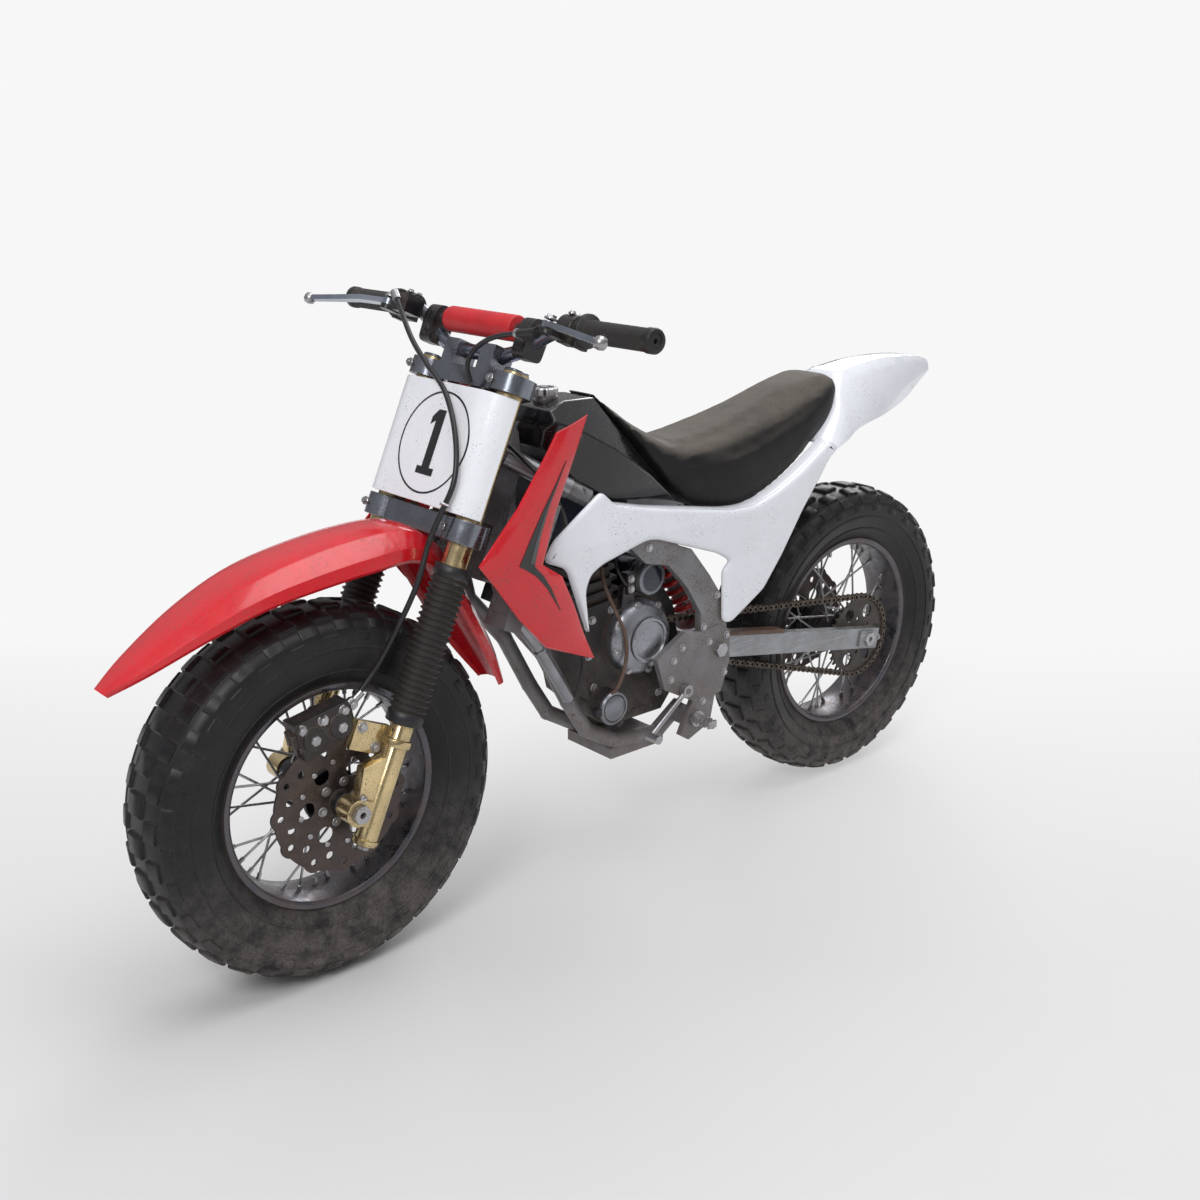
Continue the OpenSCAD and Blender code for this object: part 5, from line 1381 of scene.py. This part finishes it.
def build_engine():
    piece("clutch_cover_skin", cover_dome(), CRANK, "cover_steel", "frame", ["clutch_cover"], smooth=35)
    rim_bolts = []
    for i in range(8):
        a = math.radians(45 * i + 12)
        if abs((45 * i + 12) - 180) < 40:
            continue
        c, s = math.cos(a), math.sin(a)
        place = facing((18.9 * c, 18.9 * s, 25.3), (0.35 * c, 0.35 * s, 1))
        rim_bolts.append(moved(hex_bolt(1.5, 1.2), place))
    piece("clutch_cover_bolts", merged(*rim_bolts), CRANK, "steel", "frame", smooth=30)
    motor_end = lathe([(0.2, 20.0), (8.9, 20.0), (9.2, 20.4), (9.2, 25.2), (8.8, 26.2), (7.8, 26.7),
                       (7.0, 26.7), (6.8, 26.3), (0.2, 26.3)], 64)
    piece("motor_cap", motor_end, MOTOR, "cap_grey", "frame", smooth=40)
    bands = merged(*[lathe([(8.4, z - 0.5), (9.0, z - 0.4), (9.0, z + 0.4), (8.4, z + 0.5)], 56)
                     for z in (-8, 4, 15)])
    piece("motor_bands", bands, MOTOR, "motor_blue", "frame", smooth=40)
    bracket = merged(slab([(3, 160), (9, 158), (11, 147), (6, 144), (1, 148)], 17.6, 22.4),
                     slab([(3.4, 165.5), (8.4, 165.5), (8.4, 154), (3.4, 154)], 18.8, 24.6))
    piece("motor_bracket", bracket, BIKE, "hub_metal", "frame", bevel=0.5)
    piece("motor_bracket_bolts", bolts([(6, 24.4, 162.5), (6, 24.4, 157)], (0, 1, 0), 1.5, 1.2), BIKE,
          "steel", "frame", smooth=30)
    filter_cap = lathe([(0.2, 27.0), (7.2, 27.0), (7.4, 26.0), (8.7, 26.0), (9.2, 26.4), (9.2, 27.8),
                        (8.5, 28.6), (7.7, 28.6), (7.4, 28.2), (6, 28.9), (3, 29.4), (0.2, 29.5)], 64)
    lug = merged(moved(block(-2.2, 2.2, -1, 3, 24.5, 28.3), turn(90) @ shift(0, -11, 0)),
                 moved(block(-2, 2, -1, 2.4, 25, 28), turn(205) @ shift(0, -11, 0)))
    place = CRANK @ shift(22.5, 33, 0)
    piece("filter_cap", filter_cap, place, "cap_grey", "frame", smooth=40)
    piece("filter_lugs", lug, place, "hub_metal", "frame", bevel=0.4)
    overflow = hose([(22, 19.5, 171), (24, 24, 163), (20.5, 28, 150), (15.5, 30.5, 136), (15.2, 31, 122),
                     (19.5, 30, 109), (22.5, 27, 104)], 1.05, 10)
    piece("overflow_hose", overflow, BIKE, "brown_hose", "frame", smooth=60)
    wires = merged(hose([(26, 16, 178), (34, 20, 165), (39, 20, 150), (36, 19, 134), (31, 19, 124)], 0.7),
                   hose([(12, 17, 176), (14, 23, 168), (10, 25, 160)], 0.8),
                   hose([(33, 17, 128), (37, 21, 118), (42, 20, 104)], 0.6))
    piece("engine_wires", wires, BIKE, "cable_black", "frame", smooth=60)
    ribs = merged(*[slab([(-18 + 7 * i, 84.6), (-14.5 + 7 * i, 84.6), (-14.5 + 7 * i, 87),
                          (-18 + 7 * i, 87)], -14, 18.6) for i in range(6)])
    piece("case_ribs", ribs, BIKE, "case_metal", "frame", bevel=0.4)
    case_bolts = bolts([(27, 18, 143), (29.5, 18, 124), (26, 18, 106), (-20, 18, 92), (8, 18, 88),
                        (14, 18, 146)], (0, 1, 0), 1.7, 1.4)
    piece("case_bolts", case_bolts, BIKE, "steel", "frame", smooth=30)


# ---------- frame, swingarm and shock ----------

def build_frame_details():
    plate_bolts = bolts([(-14, 36, 116), (-20, 36, 122), (-40, 36, 121), (-53, 36, 122), (-52, 36, 101),
                         (-12, 36, 106), (-36, 36, 88)], (0, 1, 0), 1.6, 1.3)
    spar_bolts = bolts([(-36, 35.5, 130), (-46, 35.5, 146), (4, 35.5, 181)], (0, 1, 0), 1.6, 1.2)
    piece("frame_bolts", both(merged(plate_bolts, spar_bolts)), BIKE, "steel", "frame", smooth=30)
    brake_line = tube([(-52, 30, 132), (-66, 31, 139), (-70, 31, 147)], 1.2, 10)
    piece("brake_line", brake_line, BIKE, "cable_black", "frame", smooth=60)
    guard = tube([(81, 20.5, 160), (64, 21.2, 136.5), (46, 21.6, 106)], 3.0, 18)
    collar = moved(disc(3.6, -1.2, 1.2, 24, 0.3), facing((64, 21.2, 136.5), (0.55, 0, 0.83)))
    brace = tube([(75, 11, 234), (50, 28.2, 217.3)], 5.1, 24)
    piece("down_tube_guard", merged(guard, collar, brace), BIKE, "shock_metal", "frame", smooth=50)
    loom = hose([(76, 15, 240), (68, 29, 226), (61, 35, 211), (58, 36, 198)], 1.2, 10)
    radiator_hose = hose([(72, 24, 168), (64, 24, 160), (52, 21, 158), (38, 17, 162)], 3.2, 14)
    piece("wiring_loom", merged(loom, radiator_hose), BIKE, "cable_black", "frame", smooth=60)


def build_swingarm_details():
    pivot = Vector((-48, 0, 115))
    along_arm = (Vector((*REAR_SPOT, 0)).xzy - pivot).normalized()
    up = Vector((along_arm.z, 0, -along_arm.x))

    def arm(d, y, h):
        p = pivot + along_arm * d + up * h
        return p.x, y, p.z
    section = ((24.4, 5.9), (32.6, 5.9), (33.0, 7.2), (32.2, 8.2), (24.8, 8.2), (24.2, 7.2))
    slider = outward(loft([[arm(d, y, h) for y, h in section] for d in (8, 20, 34, 46, 56)]))
    piece("chain_slider", slider, BIKE, "brown_hose", "swingarm", bevel=0.3)
    corners = ((-5, 126), (5, 126), (5, 138.5), (-5, 138.5))
    ends = outward(loft([[arm(d, y, h) for h, d in corners] for y in (31.8, 33.4)]))
    piece("axle_blocks", both(ends), BIKE, "swingarm_metal", "swingarm", bevel=0.35)
    adjusters = bolts([arm(146.4, y, 0) for y in (29, -29)], along_arm, 1.9, 2.4)
    piece("swingarm_bolts", adjusters, BIKE, "steel", "swingarm", smooth=30)


def build_shock():
    low, top = Vector((-68, 0, 112)), Vector((-30, 0, 176))
    length = (top - low).length
    direction = (top - low).normalized()
    place = BIKE @ Matrix.Translation(low) @ direction.to_track_quat("Z", "Y").to_matrix().to_4x4()
    z0, z1 = 12.6, length - 17.5
    turns, radius, wire = 7.0, 8.6, 1.55
    steps = int(turns * 28)
    path = [(radius * math.cos(2 * math.pi * turns * i / steps),
             radius * math.sin(2 * math.pi * turns * i / steps), z0 + (z1 - z0) * i / steps)
            for i in range(steps + 1)]
    spring = piece("shock_coil", tube(path, wire, 12), place, "spring_red", "shock_body", ["shock_spring"],
                   smooth=60)
    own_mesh(spring)


# ---------- what is not rebuilt is the CAD node with rounded edges ----------

EDGE = {
    "main_frame": 0.7, "engine_case": 0.8, "swingarm": 0.8, "upper_clamp": 1.0, "lower_clamp": 1.0,
    "fork_legs": 0.6, "gear_cover": 0.6, "front_calliper": 0.9, "rear_calliper": 0.9, "front_disc": 0.2,
    "rear_disc": 0.2, "rear_sprocket": 0.2, "front_sprocket": 0.2, "steering_servo": 0.8, "battery": 1.2,
    "electronics_box": 0.8, "clutch_lever": 0.6, "brake_lever": 0.6, "clutch_perch": 0.12,
    "brake_master": 0.12, "front_spokes": 0, "rear_spokes": 0, "fork_tubes": 0, "shock_shaft": 0}
USUAL_EDGE = 0.3


def dress_the_rest():
    done = {n for o in bpy.data.objects for n in o.get("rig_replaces", [])}
    for node in BODY_OF:
        if node not in done:
            dressed(node, LOOKS[SLOT_OF[node]], EDGE.get(node, USUAL_EDGE))


# ---------- stage, light and camera ----------

BACKDROP = (0.93, 0.93, 0.93)
EYE = Vector((0.480, 0.552, 0.3776))


def stage_floor():
    """Pale floor that fades into the backdrop behind the bike and far off."""
    size = 9
    mesh = bpy.data.meshes.new("floor")
    mesh.from_pydata([(-size, -size, 0), (size, -size, 0), (size, size, 0), (-size, size, 0)], [],
                     [(0, 1, 2, 3)])
    floor = bpy.data.objects.new("floor", mesh)
    bpy.context.scene.collection.objects.link(floor)
    look = Look("floor_paper")
    look.link(look.mix(look.noise(3), (0.62, 0.62, 0.62), (0.66, 0.66, 0.66)),
              look.shader.inputs["Base Color"])
    look.set(Roughness=0.9)
    behind = look.add("ShaderNodeVectorMath", operation="DOT_PRODUCT")
    look.link(look.place, behind.inputs[0])
    behind.inputs[1].default_value = Vector((-EYE.x, -EYE.y, 0)).normalized()
    radius = look.add("ShaderNodeVectorMath", operation="LENGTH")
    look.link(look.place, radius.inputs[0])
    far = look.add("ShaderNodeMath", operation="MAXIMUM")
    look.link(look.ramp(behind.outputs["Value"], -0.12, 0.36), far.inputs[0])
    look.link(look.ramp(radius.outputs["Value"], 0.6, 1.6), far.inputs[1])
    glow = look.add("ShaderNodeEmission")
    glow.inputs["Color"].default_value = (*BACKDROP, 1)
    fade = look.add("ShaderNodeMixShader")
    look.link(far.outputs[0], fade.inputs[0])
    look.link(look.shader.outputs[0], fade.inputs[1])
    look.link(glow.outputs[0], fade.inputs[2])
    out = [n for n in look.tree.nodes if n.type == "OUTPUT_MATERIAL"][0]
    look.link(fade.outputs[0], out.inputs[0])
    mesh.materials.append(look.material)


def area_light(name, place, target, size, power, colour=(1, 1, 1)):
    data = bpy.data.lights.new(name, "AREA")
    data.shape = "RECTANGLE"
    data.size, data.size_y = size
    data.energy = power
    data.color = colour
    lamp = bpy.data.objects.new(name, data)
    bpy.context.scene.collection.objects.link(lamp)
    lamp.location = place
    lamp.rotation_euler = (Vector(target) - Vector(place)).to_track_quat("-Z", "Y").to_euler()


def sky():
    """Even backdrop for the camera, and a dimmer dome that lights the bike."""
    world = bpy.data.worlds.new("studio")
    bpy.context.scene.world = world
    world.use_nodes = True
    tree = world.node_tree
    place = tree.nodes.new("ShaderNodeTexCoord")
    split = tree.nodes.new("ShaderNodeSeparateXYZ")
    ramp = tree.nodes.new("ShaderNodeValToRGB")
    tree.links.new(place.outputs["Generated"], split.inputs[0])
    tree.links.new(split.outputs["Z"], ramp.inputs[0])
    ramp.color_ramp.elements[0].color = (0.21, 0.21, 0.22, 1)
    ramp.color_ramp.elements[0].position = 0.0
    ramp.color_ramp.elements[1].color = (0.98, 0.97, 1.0, 1)
    ramp.color_ramp.elements[1].position = 0.7
    dome = tree.nodes["Background"]
    tree.links.new(ramp.outputs[0], dome.inputs[0])
    dome.inputs[1].default_value = 0.66
    seen = tree.nodes.new("ShaderNodeBackground")
    seen.inputs[0].default_value = (*BACKDROP, 1)
    path = tree.nodes.new("ShaderNodeLightPath")
    choice = tree.nodes.new("ShaderNodeMixShader")
    tree.links.new(path.outputs["Is Camera Ray"], choice.inputs[0])
    tree.links.new(dome.outputs[0], choice.inputs[1])
    tree.links.new(seen.outputs[0], choice.inputs[2])
    tree.links.new(choice.outputs[0], tree.nodes["World Output"].inputs[0])


def camera():
    data = bpy.data.cameras.new("camera")
    data.sensor_fit = "HORIZONTAL"
    data.angle = math.radians(45)
    data.clip_start = 0.01
    eye = bpy.data.objects.new("camera", data)
    bpy.context.scene.collection.objects.link(eye)
    eye.location = EYE
    aim = Vector((0.0021, 0, 0.1453)) - EYE
    eye.rotation_euler = aim.to_track_quat("-Z", "Y").to_euler()
    bpy.context.scene.camera = eye


build_wheels()
build_seat()
build_tank()
build_body()
build_shrouds()
build_plate()
build_callipers()
build_fork()
build_controls()
build_lines()
build_chain()
build_engine()
build_frame_details()
build_swingarm_details()
build_shock()
dress_the_rest()

stage_floor()
sky()
area_light("key", (1.1, 0.7, 1.2), (0, 0, 0.12), (0.5, 0.5), 10)
area_light("top", (-0.3, 0.25, 1.7), (0, 0, 0.1), (1.4, 1.0), 13)
area_light("rim", (-1.3, -0.9, 0.9), (0, 0, 0.15), (0.8, 0.8), 9)
camera()
bpy.context.scene.view_settings.view_transform = "Standard"
